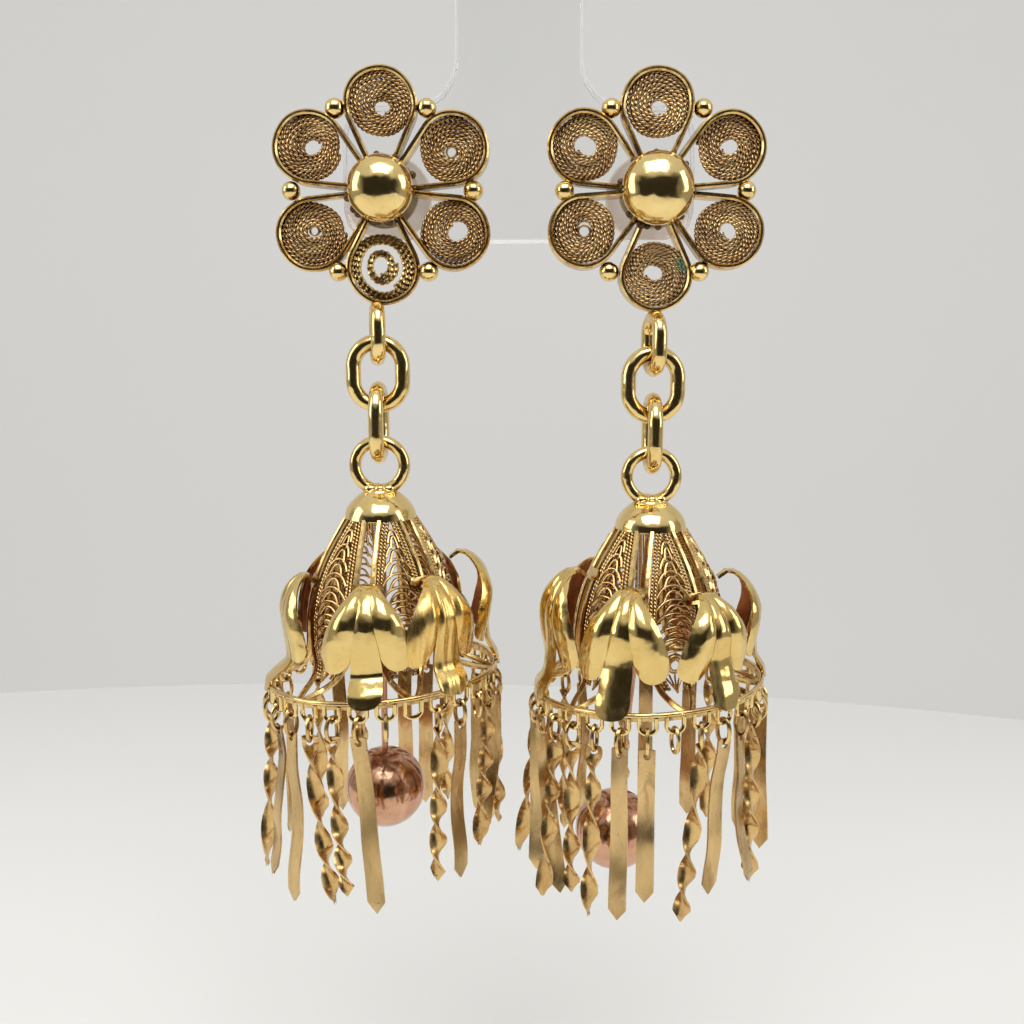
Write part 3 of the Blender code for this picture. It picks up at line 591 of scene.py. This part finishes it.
def teardrop(radius, circle, foot, count=48):
    """Closed outline of a petal along +X, from its foot round the arc and back."""
    open_angle = math.acos(radius / circle)
    angles = np.linspace(-(math.pi - open_angle), math.pi - open_angle, count)
    loop = np.stack([circle + radius * np.cos(angles), radius * np.sin(angles), 0 * angles], 1)
    slope = radius / math.sqrt(circle**2 - radius**2)
    steps = np.linspace(0, 1, 10)[:-1, None]
    low = np.array([foot, -foot * slope, 0]) * (1 - steps) + loop[0] * steps
    high = np.array([foot, foot * slope, 0]) * (1 - steps) + loop[-1] * steps
    return np.concatenate([low, loop, high[::-1]])


def petal(draw, walls, coils, spin, split=False):
    """Ribbon on edge round a flat spiral of two-strand wire, each made by hand and so a little different."""
    radius = PETAL_RADIUS - RIBBON / 2 + draw.uniform(-0.05, 0.0)
    circle = PETAL_CIRCLE + draw.uniform(-0.08, 0.04) - (0.6 if split else 0.0)
    path = teardrop(radius, circle, PETAL_FOOT)
    wave = 0.05 * np.sin(np.linspace(0, TAU * 3, len(path)) + draw.uniform(0, TAU))
    path[:, 1] += wave * np.linspace(0, 1, len(path)) * (1 - np.linspace(0, 1, len(path))) * 4
    wall = Shape()
    wall.bar(path, RIBBON, RIBBON_DEPTH, (0, 0, 1), rounding=0.3)
    loose = turn("X", draw.uniform(-5, 5)) @ turn("Y", draw.uniform(-4, 4))
    set_in = shift(x=circle) @ loose @ shift(x=-circle)
    set_in = turn("Z", spin + draw.uniform(-1.5, 1.5)) @ set_in
    walls.join(wall.transform(set_in))
    turns = draw.uniform(6.6, 7.4)
    eye = draw.uniform(0.50, 0.85)
    outer = radius - RIBBON / 2 + 0.02
    t = np.linspace(0, 1, int(turns * 48))
    spread = eye + (outer - eye) * t
    uneven = draw.uniform(-1, 1, 40)
    spread = spread + 0.05 * np.interp(t * 39, np.arange(40), uneven) * np.sin(math.pi * t)
    angle = TAU * turns * t + draw.uniform(0, TAU)
    lift_phase, wave_phase = draw.uniform(0, TAU, 2)
    squeeze = 1 + (1 - t) * 0.10 * np.sin(2 * angle + lift_phase) + 0.012 * np.sin(5 * angle + wave_phase)
    height = 0.34 + 0.14 * np.sin(t * math.pi * 1.2 + lift_phase) + 0.06 * np.sin(2.3 * angle + wave_phase)
    middle = (1 - t) * draw.uniform(-0.25, 0.25)
    reach = spread * squeeze
    spiral = np.stack([circle + middle + reach * np.cos(angle), middle + reach * np.sin(angle), height], 1)
    coil = Shape()
    thick = (outer - eye) / turns * 0.74
    if split:
        for part, rope in ((t > 0.60, 0.23), (t < 0.34, 0.19)):
            coil.rope(spiral[part], rope, 0.90, (0, 0, 1), sides=6, per_turn=7)
        walls.join(coil.transform(set_in))
        return
    coil.rope(spiral, thick, 0.80, (0, 0, 1), sides=6, per_turn=7)
    if draw.uniform() > 0.6:
        ring = TAU * np.arange(28) / 28
        inside = eye - 0.7 * thick
        lining = np.stack([circle + inside * np.cos(ring), inside * np.sin(ring), 0 * ring + 0.25], 1)
        coil.bar(lining + (middle[0], middle[0], 0.0), 0.14, 0.5, (0, 0, 1), closed=True)
    coils.join(coil.transform(set_in))


def rosette(name, spec, place):
    draw = np.random.default_rng(spec["seed"])
    walls, coils, shine = Shape(), Shape(), Shape()
    for i in range(6):
        petal(draw, walls, coils, 30 + 60 * i, split=name == "left" and i == 4)
    reach = PETAL_CIRCLE * math.cos(math.radians(30))
    reach += math.sqrt((PETAL_RADIUS + BEAD_RADIUS - BITE) ** 2 - (PETAL_CIRCLE / 2) ** 2)
    for i in range(6):
        angle = math.radians(60 * i)
        wide = BEAD_RADIUS * draw.uniform(0.93, 1.0)
        shine.ball((reach * math.cos(angle), reach * math.sin(angle), 0.3), wide)
    dome = spec["dome"]
    half = RIBBON_DEPTH / 2
    front = half + HUB_THICK - RIBBON_DEPTH
    lat = np.radians(np.linspace(90, 0, 14))
    profile = [(max(dome * math.cos(a), 1e-4), front + DOME_RISE * math.sin(a)) for a in lat]
    profile += [(dome * 0.97, front - 0.14), (dome * 0.86, front - 0.34), (dome * 0.80, -half)]
    post_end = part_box(name + "_rosette")[1][1] / MM - place.y
    profile += [(0.45, -half), (0.45, -post_end), (1e-4, -post_end)]
    shine.grid(turned_rows(profile, 40)[::-1], wrap_columns=True)
    # Very dark solder balls round the foot of the dome
    hub, disc = Shape(), Shape()
    for i in range(22):
        angle = draw.uniform(0, TAU)
        reach = dome * draw.uniform(0.86, 1.04)
        spot = (reach * math.cos(angle), reach * math.sin(angle), front - draw.uniform(0.35, 1.0))
        hub.ball(spot, draw.uniform(0.22, 0.42), 12, 8, 0.8)
    lip = [(0.5, -0.16), (2.4, -0.16), (2.75, -0.16), (2.8, -0.06), (2.75, 0.02), (0.5, 0.02)]
    rows = turned_rows([(radius, z - half) for radius, z in lip], 48)
    disc.grid(rows[:, ::-1], wrap_rows=True, wrap_columns=True)
    height = spec["loop_height"]
    longer = 0.7 if name == "left" else 0.0
    loop = oval(LOOP_WIDTH, height + longer)
    middle = -PETAL_CIRCLE - PETAL_RADIUS - LOOP_WIRE + 2 * BITE + (longer - height) / 2
    fixed = Shape()
    fixed.tube(loop, LOOP_WIRE, 14, closed=True, reference=(0, 1, 0))
    fixed.transform(shift(x=spec["loop_side"], y=middle) @ turn("Y", 100) @ turn("X", 90))
    shine.join(fixed)
    for shape, part, material, slot, sharp in (
        (walls, "petal_ribbons", "edge_gold", "antique_gold", 40),
        (coils, "petal_coils", name + "_coils", "antique_gold", 80),
        (hub, "hub_solder", "tarnish_and_shade", "antique_gold", 40),
        (disc, "hub_disc", "silver_disc", "antique_gold", 40),
        (shine, "rosette_dome", "polished_gold", "polished_gold", 40),
    ):
        shape.transform(Matrix.Translation(place) @ turn("X", 90))
        shape.object(f"{name}_{part}", material, "stand", name + "_rosette", slot, sharp)


def ear_nut(name):
    low, high = (np.array(corner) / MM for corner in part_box(name + "_ear_nut"))
    middle = (low + high) / 2
    radius, front, back = (high[0] - low[0]) / 2, low[1], high[1]
    profile = [(0.6, front), (radius - 0.15, front), (radius, front + 0.15), (radius, front + 0.6)]
    profile += [(radius - 0.2, front + 0.8), (1.6, front + 0.85), (1.45, front + 1.0), (1.4, back - 0.15)]
    profile += [(1.25, back), (0.6, back)]
    rows = turned_rows(profile, 48)[..., [0, 2, 1]] + np.array([middle[0], 0.0, middle[2]])
    nut = Shape()
    nut.grid(rows[:, ::-1], wrap_rows=True, wrap_columns=True)
    nut.object(name + "_ear_nut_turned", "pale_nut", "stand", name + "_ear_nut", "satin_gold")


# Bell


def on_body(share, across, out=0.0):
    """Point on the open body about +X, at a share of the drop and a distance round it."""
    radius = smooth_table(BODY, 1, share)
    angle = across / np.maximum(radius, 1.0)
    reach = radius + out
    return np.stack([reach * np.cos(angle), reach * np.sin(angle), -share * BELL_DROP], -1)


def outward(path):
    flat = path * np.array([1.0, 1.0, 0.0])
    return flat / (np.linalg.norm(flat, axis=1)[:, None] + 1e-9)


def bell_panel(frames, ropes, spin):
    """Lens of two ribbons with twisted wire inside them, a stack of arcs down the middle and a small ring."""
    share = np.linspace(-0.01, 1.0, 60)
    half = smooth_table(BODY, 2, share)
    bars, wires = Shape(), Shape()
    for side in (-1, 1):
        path = on_body(share, side * half)
        bars.bar(path, *PANEL_BAR, outward(path))
        for step, inset in enumerate(ROPE_INSETS):
            keep = (half > inset + 0.10) & (share < 0.93)
            path = on_body(share[keep], side * (half[keep] - inset))
            wires.rope(path, ROPE_RADIUS, ROPE_PITCH, outward(path), sides=6, per_turn=8, phase=side * step)
    t = np.linspace(-1, 1, 21)
    for place in ARC_PLACES:
        room = float(smooth_table(BODY, 2, place)) - ARC_INSET
        for wide, lower in ((1.0, 0.0), (0.62, 0.032)):
            path = on_body(place + lower + ARC_SAG * np.abs(t) ** 2.4, t * wide * room)
            wires.bar(path, *ARC_BAR, outward(path))
    ring = np.linspace(0, TAU, 25)
    for radius in RING_SIZES:
        path = on_body(RING_PLACE + radius / BELL_DROP * np.sin(ring), radius * np.cos(ring))
        wires.rope(path, 0.10, FINE_PITCH, outward(path), sides=5, per_turn=6)
    t = np.linspace(0, 1, 15)
    for side in (-1, -0.5, 0, 0.5, 1):
        path = on_body(RAY_PLACE + 0.10 * t, side * RAY_SPREAD * (1 - t) ** 1.2)
        wires.rope(path, 0.09, FINE_PITCH, outward(path), sides=4, per_turn=6)
    frames.join(bars.transform(turn("Z", spin)))
    ropes.join(wires.transform(turn("Z", spin)))


def sheet_solid(front_shape, back_shape, surface, wall):
    """Thin sheet from a (rows, columns, 3) surface: its front and edges in one shape, its back in another."""
    across = np.gradient(surface, axis=1)
    down = np.gradient(surface, axis=0)
    normal = np.cross(down, across)
    normal /= np.linalg.norm(normal, axis=2)[..., None] + 1e-9
    front = surface + normal * wall / 2
    back = surface - normal * wall / 2
    back_shape.grid(back[:, ::-1])
    front_shape.grid(front)

    def border(points):
        return np.concatenate([points[0, :], points[1:, -1], points[-1, -2::-1], points[-2:0:-1, 0]])

    front_shape.grid(np.stack([border(back), border(front)]), wrap_columns=True)


def leaf_point(share, across, puff, top_drop, tuck, crease=1.0):
    """Point of a leaf about +X; puff lifts it off the leaf's own curve."""
    radius = smooth_table(LEAF, 1, share) - tuck * np.sin(math.pi * np.clip(share / 0.95, 0, 1)) ** 0.6
    even = 8.90 + 2.2 * (share - 0.70)
    ease = np.clip((share - 0.45) / 0.35, 0, 1)
    radius = radius + (1 - crease) * ease**2 * (3 - 2 * ease) * (even - radius)
    height = smooth_table(LEAF, 2, share) - top_drop * (1 - share)
    angle = across / np.maximum(radius, 4.0)
    radius = radius + puff
    return np.stack([radius * np.cos(angle), radius * np.sin(angle), height], -1)


def bell_leaf(shapes, row, draw):
    """Three lobes of sheet with grooves between them; the middle one runs on as a tongue to the rim."""
    angle, top_drop, wide, lean, ridges, tuck, crease = row
    front, back = Shape(), Shape()
    phase = draw.uniform(0, TAU)
    dents = draw.uniform(0.7, 1.3, 3)

    def ripple(share, across):
        lines = np.sin(across * 7.0 + phase) + 0.6 * np.sin(across * 12.5 + 2 * share)
        return ridges * lines * np.clip(share * 5, 0, 1)

    tip = 0.9 + 0.1 * np.sin(np.linspace(0, math.pi / 2, 13)[1:])
    t = np.concatenate([np.linspace(0, 0.9, 38), tip])[:, None]
    s = np.linspace(-1, 1, 11)[None, :]
    end = np.clip(1 - np.clip((t - 0.925) / 0.0755, 0, 1) ** 2.6, 0.0, 1) ** 0.42
    across = s * smooth_table(LEAF, 4, t) * end * wide + lean * t**2
    puff = 0.16 * dents[1] * (1 - (s * end) ** 2) * np.clip(t * 6, 0, 1) + ripple(t, across)
    sheet_solid(front, back, leaf_point(t + 0 * s, across, puff, top_drop, tuck, crease), LEAF_WALL)
    for side in (-1, 1):
        a = np.linspace(0, 1, 11)[None, :]
        u = np.linspace(0, 1, 34)[:, None]
        t = LOBE_END * np.sin(u * math.pi / 2) ** 0.9
        half = smooth_table(LEAF, 3, t)
        middle = smooth_table(LEAF, 4, t) * 0.92
        inner = middle + 0.30 * np.clip((t - NOTCH) / (LOBE_END - NOTCH), 0, 1)
        late = np.clip((t - LOBE_ROUND) / (LOBE_END - LOBE_ROUND), 0, 1)
        core, reach = (inner + half) / 2, (half - inner) / 2 * (1 - 0.9995 * late**2.3) ** 0.45
        inner, outer = core - reach, core + reach
        place = (outer - inner) * a + inner
        level = (place - core) / (half - middle) + 0.5
        across = side * place * wide + lean * t**2 * 0.5
        bulge = 0.46 * dents[1 + side] * np.sin(math.pi * (0.04 + 0.84 * level)) - 0.12
        puff = bulge * np.clip(t * 5, 0, 1) - 0.42 * level**2 * np.clip(t * 2.2, 0, 1) + ripple(t, across)
        surface = leaf_point(t + 0 * a, across, puff, top_drop, tuck)
        sheet_solid(front, back, surface if side > 0 else surface[:, ::-1], LEAF_WALL)
    spin = turn("Z", angle - 90)
    shapes["brushed" if ridges > 0.03 else "polished"].join(front.transform(spin))
    shapes["inside"].join(back.transform(spin))


def lift(spec, points):
    """The tilt of the rim, which fades out towards the cap."""
    share = np.clip(-points[:, 2] / BELL_DROP, 0, 1)
    points = points.copy()
    points[:, 2] += points[:, 0] * math.tan(math.radians(spec["rim_tilt"])) * share
    return points


def bell(name, spec, pivot):
    """Returns the place of the cap's lower edge."""
    draw = np.random.default_rng(spec["seed"] + 20)
    lower_top = pivot[2] - UPPER_HEIGHT + 2 * LINK_WIRE + LINK_GAP
    ring_top = lower_top - LOWER_HEIGHT + LINK_WIRE + RING_WIRE + LINK_GAP
    ring_middle = np.array([pivot[0], pivot[1], ring_top - RING_RADIUS])
    cap_low = -RING_RADIUS - RING_WIRE + RING_SUNK - CAP_HEIGHT
    cap_place = ring_middle + np.array([0, 0, cap_low])
    body, node_name = name + "_drop", name + "_bell"

    top = torus(RING_RADIUS, RING_WIRE, 64, 16).transform(shift(z=-cap_low))
    outer = [(CAP_RADIUS * smooth_table(CAP, 1, a), CAP_HEIGHT * a) for a in np.linspace(1, 0, 22)]
    outer += [(CAP_RADIUS + 0.02, -0.10), (CAP_RADIUS - 0.06, -0.18)]
    radius, rise = CAP_RADIUS - CAP_WALL, CAP_HEIGHT - CAP_WALL
    inner = [(radius * math.cos(a), rise * math.sin(a)) for a in np.radians(np.linspace(0, 88, 16))]
    top.grid(turned_rows(outer + inner, 56)[::-1], wrap_rows=True, wrap_columns=True)
    for side, front, size in CAP_SOLDER:
        top.ball((side, front, CAP_HEIGHT - 0.14), size, squash=0.75)
    top.join(torus(EYE_RADIUS, EYE_WIRE, 64, 10).transform(shift(z=CAP_HEIGHT - 0.5 - EYE_RADIUS + BITE / 2)))
    top.transform(Matrix.Translation(cap_place))
    top.object(name + "_bell_cap", "polished_gold", body, node_name, "polished_gold")

    frames, ropes, rim = Shape(), Shape(), Shape()
    leaves = {"polished": Shape(), "brushed": Shape(), "inside": Shape()}
    for i in range(6):
        uneven = BACK_PANELS_TURN if i in (2, 3) else 0.0
        bell_panel(frames, ropes, spec["panel_turn"] - 90 + 60 * i + uneven)
    for row in LEAVES[name]:
        bell_leaf(leaves, row, draw)
        foot = -(LEAF[0, 2] - row[1]) / BELL_DROP
        t, s = np.meshgrid(np.linspace(-0.035, 0.03, 5), np.linspace(-1, 1, 7), indexing="ij")
        plate, spare = Shape(), Shape()
        wave = 0.05 * np.sin(9 * s + row[0])
        surface = on_body(foot + t + 0.01 * wave, s * (1.05 - 6 * np.abs(t)), 0.12 + wave)
        sheet_solid(plate, spare, surface, 0.4)
        frames.join(plate.join(spare).transform(turn("Z", row[0] - 90)))
    around = TAU * np.arange(120) / 120
    circle = np.stack([np.cos(around), np.sin(around), 0 * around], 1)
    band = circle * (RIM_RADIUS - 0.05) + np.array([0, 0, -BELL_DROP - 0.04])
    rim.bar(band, 0.52, 0.24, circle, closed=True)
    wavy = RIM_RADIUS + 0.04 + 0.03 * np.sin(around * 7 + spec["seed"])
    wire = circle * wavy[:, None] + np.array([0, 0, -BELL_DROP + 0.20])
    rim.tube(wire, 0.20, 10, closed=True, reference=(0, 0, 1))
    for i in range(10):
        place = around[(i * 37) % 120]
        spot = (RIM_RADIUS * math.cos(place), RIM_RADIUS * math.sin(place), -BELL_DROP + 0.1)
        rim.ball(spot, 0.3, 10, 8, 0.7)
    for shape, part, material, sharp in (
        (frames, "panel_frames", "edge_gold", 40),
        (ropes, "panel_wires", "filigree_gold", 80),
        (leaves["polished"], "leaves", "leaf_gold", 50),
        (leaves["brushed"], "brushed_leaves", "brushed_gold", 50),
        # the leaves' backs carry painted shade
        (leaves["inside"], "leaf_insides", "inner_shade_red", 50),
        (rim, "rim", "edge_gold", 40),
    ):
        shape.map(lambda points: lift(spec, points)).transform(Matrix.Translation(cap_place))
        shape.object(f"{name}_bell_{part}", material, body, node_name, "polished_gold", sharp)
    return cap_place


# Fringe


def strip(turns, length, lean, splay, face, bow, draw):
    """Thin strip with a pointed end, its top at the origin, hanging down from a hole near the top."""
    half, thin, tab, hole = STRIP_WIDTH / 2, STRIP_THICK / 2, 1.1, 0.30
    ripples = draw.uniform(0, TAU, 3)

    def bent(points):
        x, y, z = points[..., 0], points[..., 1], points[..., 2]
        share = np.clip(-z / length, 0, 1.05)
        y = y + bow * length * np.sin(math.pi * np.clip(share, 0, 1))
        y = y + (0.03 if turns else 0.15) * np.sin(share * 9 + ripples[0])
        y = y + 0.02 * np.sin(share * 21 + ripples[1])
        ease = share + 0.04 * np.sin(TAU * share + ripples[2])
        angle = np.radians(face + 360 * turns * ease)
        across = x * np.cos(angle) - y * np.sin(angle) + share**1.4 * length * math.sin(math.radians(lean))
        depth = x * np.sin(angle) + y * np.cos(angle) - share**1.4 * length * math.sin(math.radians(splay))
        return np.stack([across, depth, z], -1)

    shape = Shape()
    rows = 56
    t = np.linspace(0, 1, rows)
    e = 0.05
    widths = (1 - e / half, 0.5, 0, -0.5, e / half - 1)
    section = [(widths[0], -1)] + [(a, 1) for a in widths] + [(a, -1) for a in widths[:0:-1]]
    section = np.array(section) * (half, thin)
    points = np.zeros((rows, len(section), 3))
    points[..., 0] = section[:, 0] * (1 - 0.05 * np.cos(math.pi * t))[:, None]
    points[..., 1] = section[:, 1]
    points[..., 2] = -tab - t[:, None] * (length - 0.45 - tab)
    tip = 2 * STRIP_POINT * (1 - np.abs(section[:, 0]) / half)
    points[..., 2] -= tip * np.clip((t - 0.92) * 12.5, 0, 1)[:, None]
    shape.grid(bent(points)[::-1], wrap_columns=True, cap=True)
    angles = TAU * (np.arange(24) + 0.5) / 24
    ring = np.stack([hole * np.cos(angles), -0.52 + hole * np.sin(angles)], 1)
    reach = np.maximum(np.abs(np.cos(angles)) / (half * 0.95 - e), np.abs(np.sin(angles)) / 0.55)
    frame_line = np.stack([np.cos(angles) / reach, -0.55 + np.sin(angles) / reach], 1)
    loops = [(ring, -1), (ring, 1), (frame_line, 1), (frame_line, -1)]
    plate = np.array([[(x, thin * side, z) for x, z in line] for line, side in loops])
    shape.grid(bent(plate)[::-1], wrap_rows=True, wrap_columns=True)
    return shape


def fringe(name, spec, cap_place):
    draw = np.random.default_rng(spec["seed"] + 40)
    staples, rings = Shape(), Shape()
    kinds = {True: Shape(), False: Shape()}
    tilt = math.tan(math.radians(spec["rim_tilt"]))
    jump, jump_rise, jump_wire, wire = 0.56, 0.98, 0.165, 0.18
    hung = {row[0]: row for row in STRIPS[name]}
    for i in range(STAPLES):
        slot = i if i <= 20 else i - STAPLES
        angle = spec["staple_turn"] - 90 + 360 * slot / STAPLES
        spot = turn("Z", angle) @ Vector((RIM_RADIUS, 0.0, -BELL_DROP))
        raised = spot.x * tilt
        place = Matrix.Translation((spot.x, spot.y, spot.z + raised)) @ turn("Z", angle)
        half = 0.66 + draw.uniform(-0.05, 0.05)
        drop = STAPLE_DROP + draw.uniform(-0.10, 0.06)
        bend = np.radians(np.linspace(180, 360, 13))
        u = np.stack([0 * bend, half * np.cos(bend), -drop + half * 0.8 + half * 0.8 * np.sin(bend)], 1)
        legs = np.array([[0, -half, 0.0], [0, -half, -drop * 0.3]])
        path = np.concatenate([legs, u, legs[::-1] * (1, -1, 1)])
        one = Shape()
        one.tube(path, wire, 8, reference=(1, 0, 0))
        staples.join(one.transform(place))
        row = hung.get(slot)
        if row is None and slot not in EMPTY_RINGS[name]:
            continue
        middle = -drop + wire + jump_wire + 0.02 - jump_rise
        yaw = draw.uniform(-28, 28)
        ring = torus(jump, jump_wire, 26, rise=jump_rise).transform(place @ shift(z=middle) @ turn("Z", yaw))
        rings.join(ring)
        if row is None:
            continue
        _, turns, share, lean, splay, face, bow = row
        top = middle - jump_rise + jump_wire + 0.25
        length = share * STRIP_LENGTH + top + STRIP_START
        piece = strip(turns, length, lean, splay, face, bow, draw)
        kinds[bool(turns)].join(piece.transform(place @ shift(z=top) @ turn("Z", 90)))
    for shape, part, material in (
        (staples, "staples", "polished_gold"),
        (rings, "jump_rings", "edge_gold"),
        (kinds[False], "flat_strips", "satin_gold"),
        (kinds[True], "twisted_strips", "brass_strip"),
    ):
        shape.transform(Matrix.Translation(cap_place))
        shape.object(f"{name}_{part}", material, name + "_drop", name + "_fringe", "satin_gold", 35)


def chain(name, pivot):
    upper_z = pivot[2] - UPPER_HEIGHT / 2
    lower_z = pivot[2] - UPPER_HEIGHT + 2 * LINK_WIRE + LINK_GAP - LOWER_HEIGHT / 2
    for part, width, height, z, spin in (
        ("_upper_link", UPPER_WIDTH, UPPER_HEIGHT, upper_z, 0),
        ("_lower_link", LOWER_WIDTH, LOWER_HEIGHT, lower_z, 90),
    ):
        link = Shape()
        link.tube(oval(width, height), LINK_WIRE, 16, closed=True, reference=(0, 1, 0))
        link.transform(Matrix.Translation((pivot[0], pivot[1], z)) @ turn("Z", spin))
        link.object(name + part + "_round", "polished_gold", name + "_drop", name + part, "polished_gold")


def ball(name, spec):
    pivot = JOINTS[name + "_ball_swing"]
    shape = Shape()
    shape.ball((0, 0, -spec["stem"]), BALL_RADIUS, 48, 32)
    stem = [(0, 0, -EYE_RADIUS), (0, 0, -8), (0, 0, 2 - spec["stem"])]
    shape.tube(stem, STEM_WIRE, 10, reference=(1, 0, 0))
    shape.join(torus(EYE_RADIUS, EYE_WIRE, 32, 10).transform(turn("Z", 90)))
    middle = 2 * EYE_WIRE + LINK_GAP - EYE_RADIUS
    shape.transform(Matrix.Translation(pivot) @ turn("Y", spec["ball_lean"]) @ shift(z=middle))
    shape.object(name + "_ball_polished", "rose_gold", name + "_ball", name + "_ball", "rose_gold")


def display_bar():
    """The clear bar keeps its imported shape; its edges get a small polished bevel."""
    source = frame["nodes"]["display_bar"]
    data = source.data.copy()
    data.materials.clear()
    data.materials.append(MATERIALS["clear_acrylic"])
    bar = placed("display_bar_polished", data)
    shape = bmesh.new()
    shape.from_mesh(data)
    bmesh.ops.remove_doubles(shape, verts=shape.verts, dist=0.002 * MM)
    bmesh.ops.dissolve_limit(shape, angle_limit=math.radians(1), verts=shape.verts, edges=shape.edges)
    shape.to_mesh(data)
    shape.free()
    bevel = bar.modifiers.new("polish", "BEVEL")
    bevel.width = 0.25 * MM
    bevel.segments = 3
    bevel.limit_method = "ANGLE"
    bevel.angle_limit = math.radians(50)
    data.shade_smooth()
    data.set_sharp_from_angle(angle=math.radians(35))
    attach(bar, "stand")
    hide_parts("display_bar")


# Camera, floor and lights

IMAGE_SIZE = 1024
FOCAL_PIXELS = 1040.0
PITCH = 8.6
CAMERA_DISTANCE = 86.3
CAMERA_X = -0.55
CAMERA_AIM_Z = -42.0
FLOOR_Z = -110.0
TABLE_X, TABLE_BACK, TABLE_WIDE, TABLE_DEEP = -40.0, 164.0, 310.0, 200.0
WALL_Y = 620.0


def camera():
    data = bpy.data.cameras.new("camera")
    data.sensor_width = 36.0
    data.lens = data.sensor_width * FOCAL_PIXELS / IMAGE_SIZE
    data.clip_start, data.clip_end = 2 * MM, 10000 * MM
    obj = placed("camera", data)
    pitch = math.radians(PITCH)
    plane = JOINTS["left_drop_swing"][1]
    y = plane - CAMERA_DISTANCE * math.cos(pitch)
    z = CAMERA_AIM_Z + CAMERA_DISTANCE * math.sin(pitch)
    obj.location = Vector((CAMERA_X, y, z)) * MM
    obj.rotation_euler = (math.radians(90) - pitch, 0, 0)
    bpy.context.scene.camera = obj


def plain(name, colour, rough, glow=0.0):
    material, tree, shader, place = nodes_of(name)
    soft = blend(tree, noise(tree, place, 6.0, 2.0), colour, tuple(c * 0.97 for c in colour))
    tree.links.new(soft, shader.inputs["Base Color"])
    tree.links.new(soft, shader.inputs["Emission Color"])
    shader.inputs["Emission Strength"].default_value = glow
    shader.inputs["Roughness"].default_value = rough
    return material


def backdrop_piece(name, rows, material):
    sheet = Shape()
    sheet.grid(np.array(rows) * MM)
    data = bpy.data.meshes.new(name)
    data.from_pydata(sheet.points[0].tolist(), [], sheet.faces[0].tolist())
    data.shade_smooth()
    data.materials.append(material)
    obj = placed(name, data)


def stage():
    """Round pale table, and a pale grey wall well behind it."""
    angles = TAU * np.arange(97) / 96
    rows = []
    for share, z in ((0.0001, 0.0), (0.99, 0.0), (0.997, -0.6), (1.0, -2.5), (1.0, -30)):
        x = TABLE_X + share * TABLE_WIDE * np.cos(angles)
        y = TABLE_BACK - TABLE_DEEP + share * TABLE_DEEP * np.sin(angles)
        rows.append(np.stack([x, y, FLOOR_Z + z + 0 * x], 1))
    backdrop_piece("table", rows, plain("pale_table", (0.90, 0.89, 0.86), 0.55))
    line = [(WALL_Y, 1200.0), (WALL_Y, -700.0)]
    rows = [[(x, y, z) for x in np.linspace(-1500, 1500, 9)] for y, z in line]
    backdrop_piece("wall", rows, plain("grey_wall", (0.66, 0.65, 0.63), 0.8, 0.60))


def light(name, place, aim, size, power, colour=(1.0, 1.0, 1.0)):
    data = bpy.data.lights.new(name, "AREA")
    data.shape = "RECTANGLE"
    data.size, data.size_y = size[0] * MM, size[1] * MM
    data.energy = power
    data.color = colour
    obj = placed(name, data)
    obj.location = Vector(place) * MM
    direction = (Vector(aim) - Vector(place)).normalized()
    obj.rotation_euler = direction.to_track_quat("-Z", "Y").to_euler()


def lights():
    aim = (0, 0, -40)
    light("top_softbox", (0, -150, 190), aim, (230, 150), 0.42)
    light("left_softbox", (-270, -60, 60), aim, (120, 200), 0.20, (1.0, 0.99, 0.97))
    light("right_softbox", (260, -70, 50), aim, (90, 180), 0.15, (1.0, 0.99, 0.97))
    world = bpy.data.worlds.new("studio")
    world.use_nodes = True
    tree = world.node_tree
    sky = tree.nodes["Background"]
    place = tree.nodes.new("ShaderNodeTexCoord")
    split = tree.nodes.new("ShaderNodeSeparateXYZ")
    tree.links.new(place.outputs["Generated"], split.inputs["Vector"])
    stops = [
        (0.00, (0.55, 0.54, 0.52)),
        (0.44, (0.42, 0.41, 0.39)),
        (0.66, (0.40, 0.40, 0.39)),
        (0.78, (0.75, 0.76, 0.77)),
        (1.00, (0.90, 0.91, 0.92)),
    ]
    shade = ramp(tree, map_range(tree, split.outputs["Z"], -1.0, 1.0), stops)
    opening = map_range(tree, calculate(tree, "ABSOLUTE", split.outputs["X"]), 0.66, 0.92, 1.0, 0.0)
    for value, low, high, first, last in (
        (split.outputs["Z"], -0.42, -0.34, 0.0, 1.0),
        (split.outputs["Z"], 0.36, 0.52, 1.0, 0.0),
        (split.outputs["Y"], -0.35, -0.15, 1.0, 0.0),
    ):
        opening = calculate(tree, "MULTIPLY", opening, map_range(tree, value, low, high, first, last))
    shade = blend(tree, opening, shade, (0.035, 0.032, 0.028))
    tree.links.new(shade, sky.inputs["Color"])
    sky.inputs["Strength"].default_value = 0.85
    bpy.context.scene.world = world
    bpy.context.scene.view_settings.view_transform = "Standard"


def main():
    camera()
    stage()
    lights()
    display_bar()
    for name, spec in EARRINGS.items():
        pivot = JOINTS[name + "_drop_swing"]
        low, high = (np.array(corner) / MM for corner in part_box(name + "_rosette"))
        rosette(name, spec, Vector(((low[0] + high[0]) / 2, pivot[1], high[2] - PETAL_CIRCLE - PETAL_RADIUS)))
        ear_nut(name)
        chain(name, pivot)
        cap_place = bell(name, spec, pivot)
        fringe(name, spec, cap_place)
        ball(name, spec)


main()
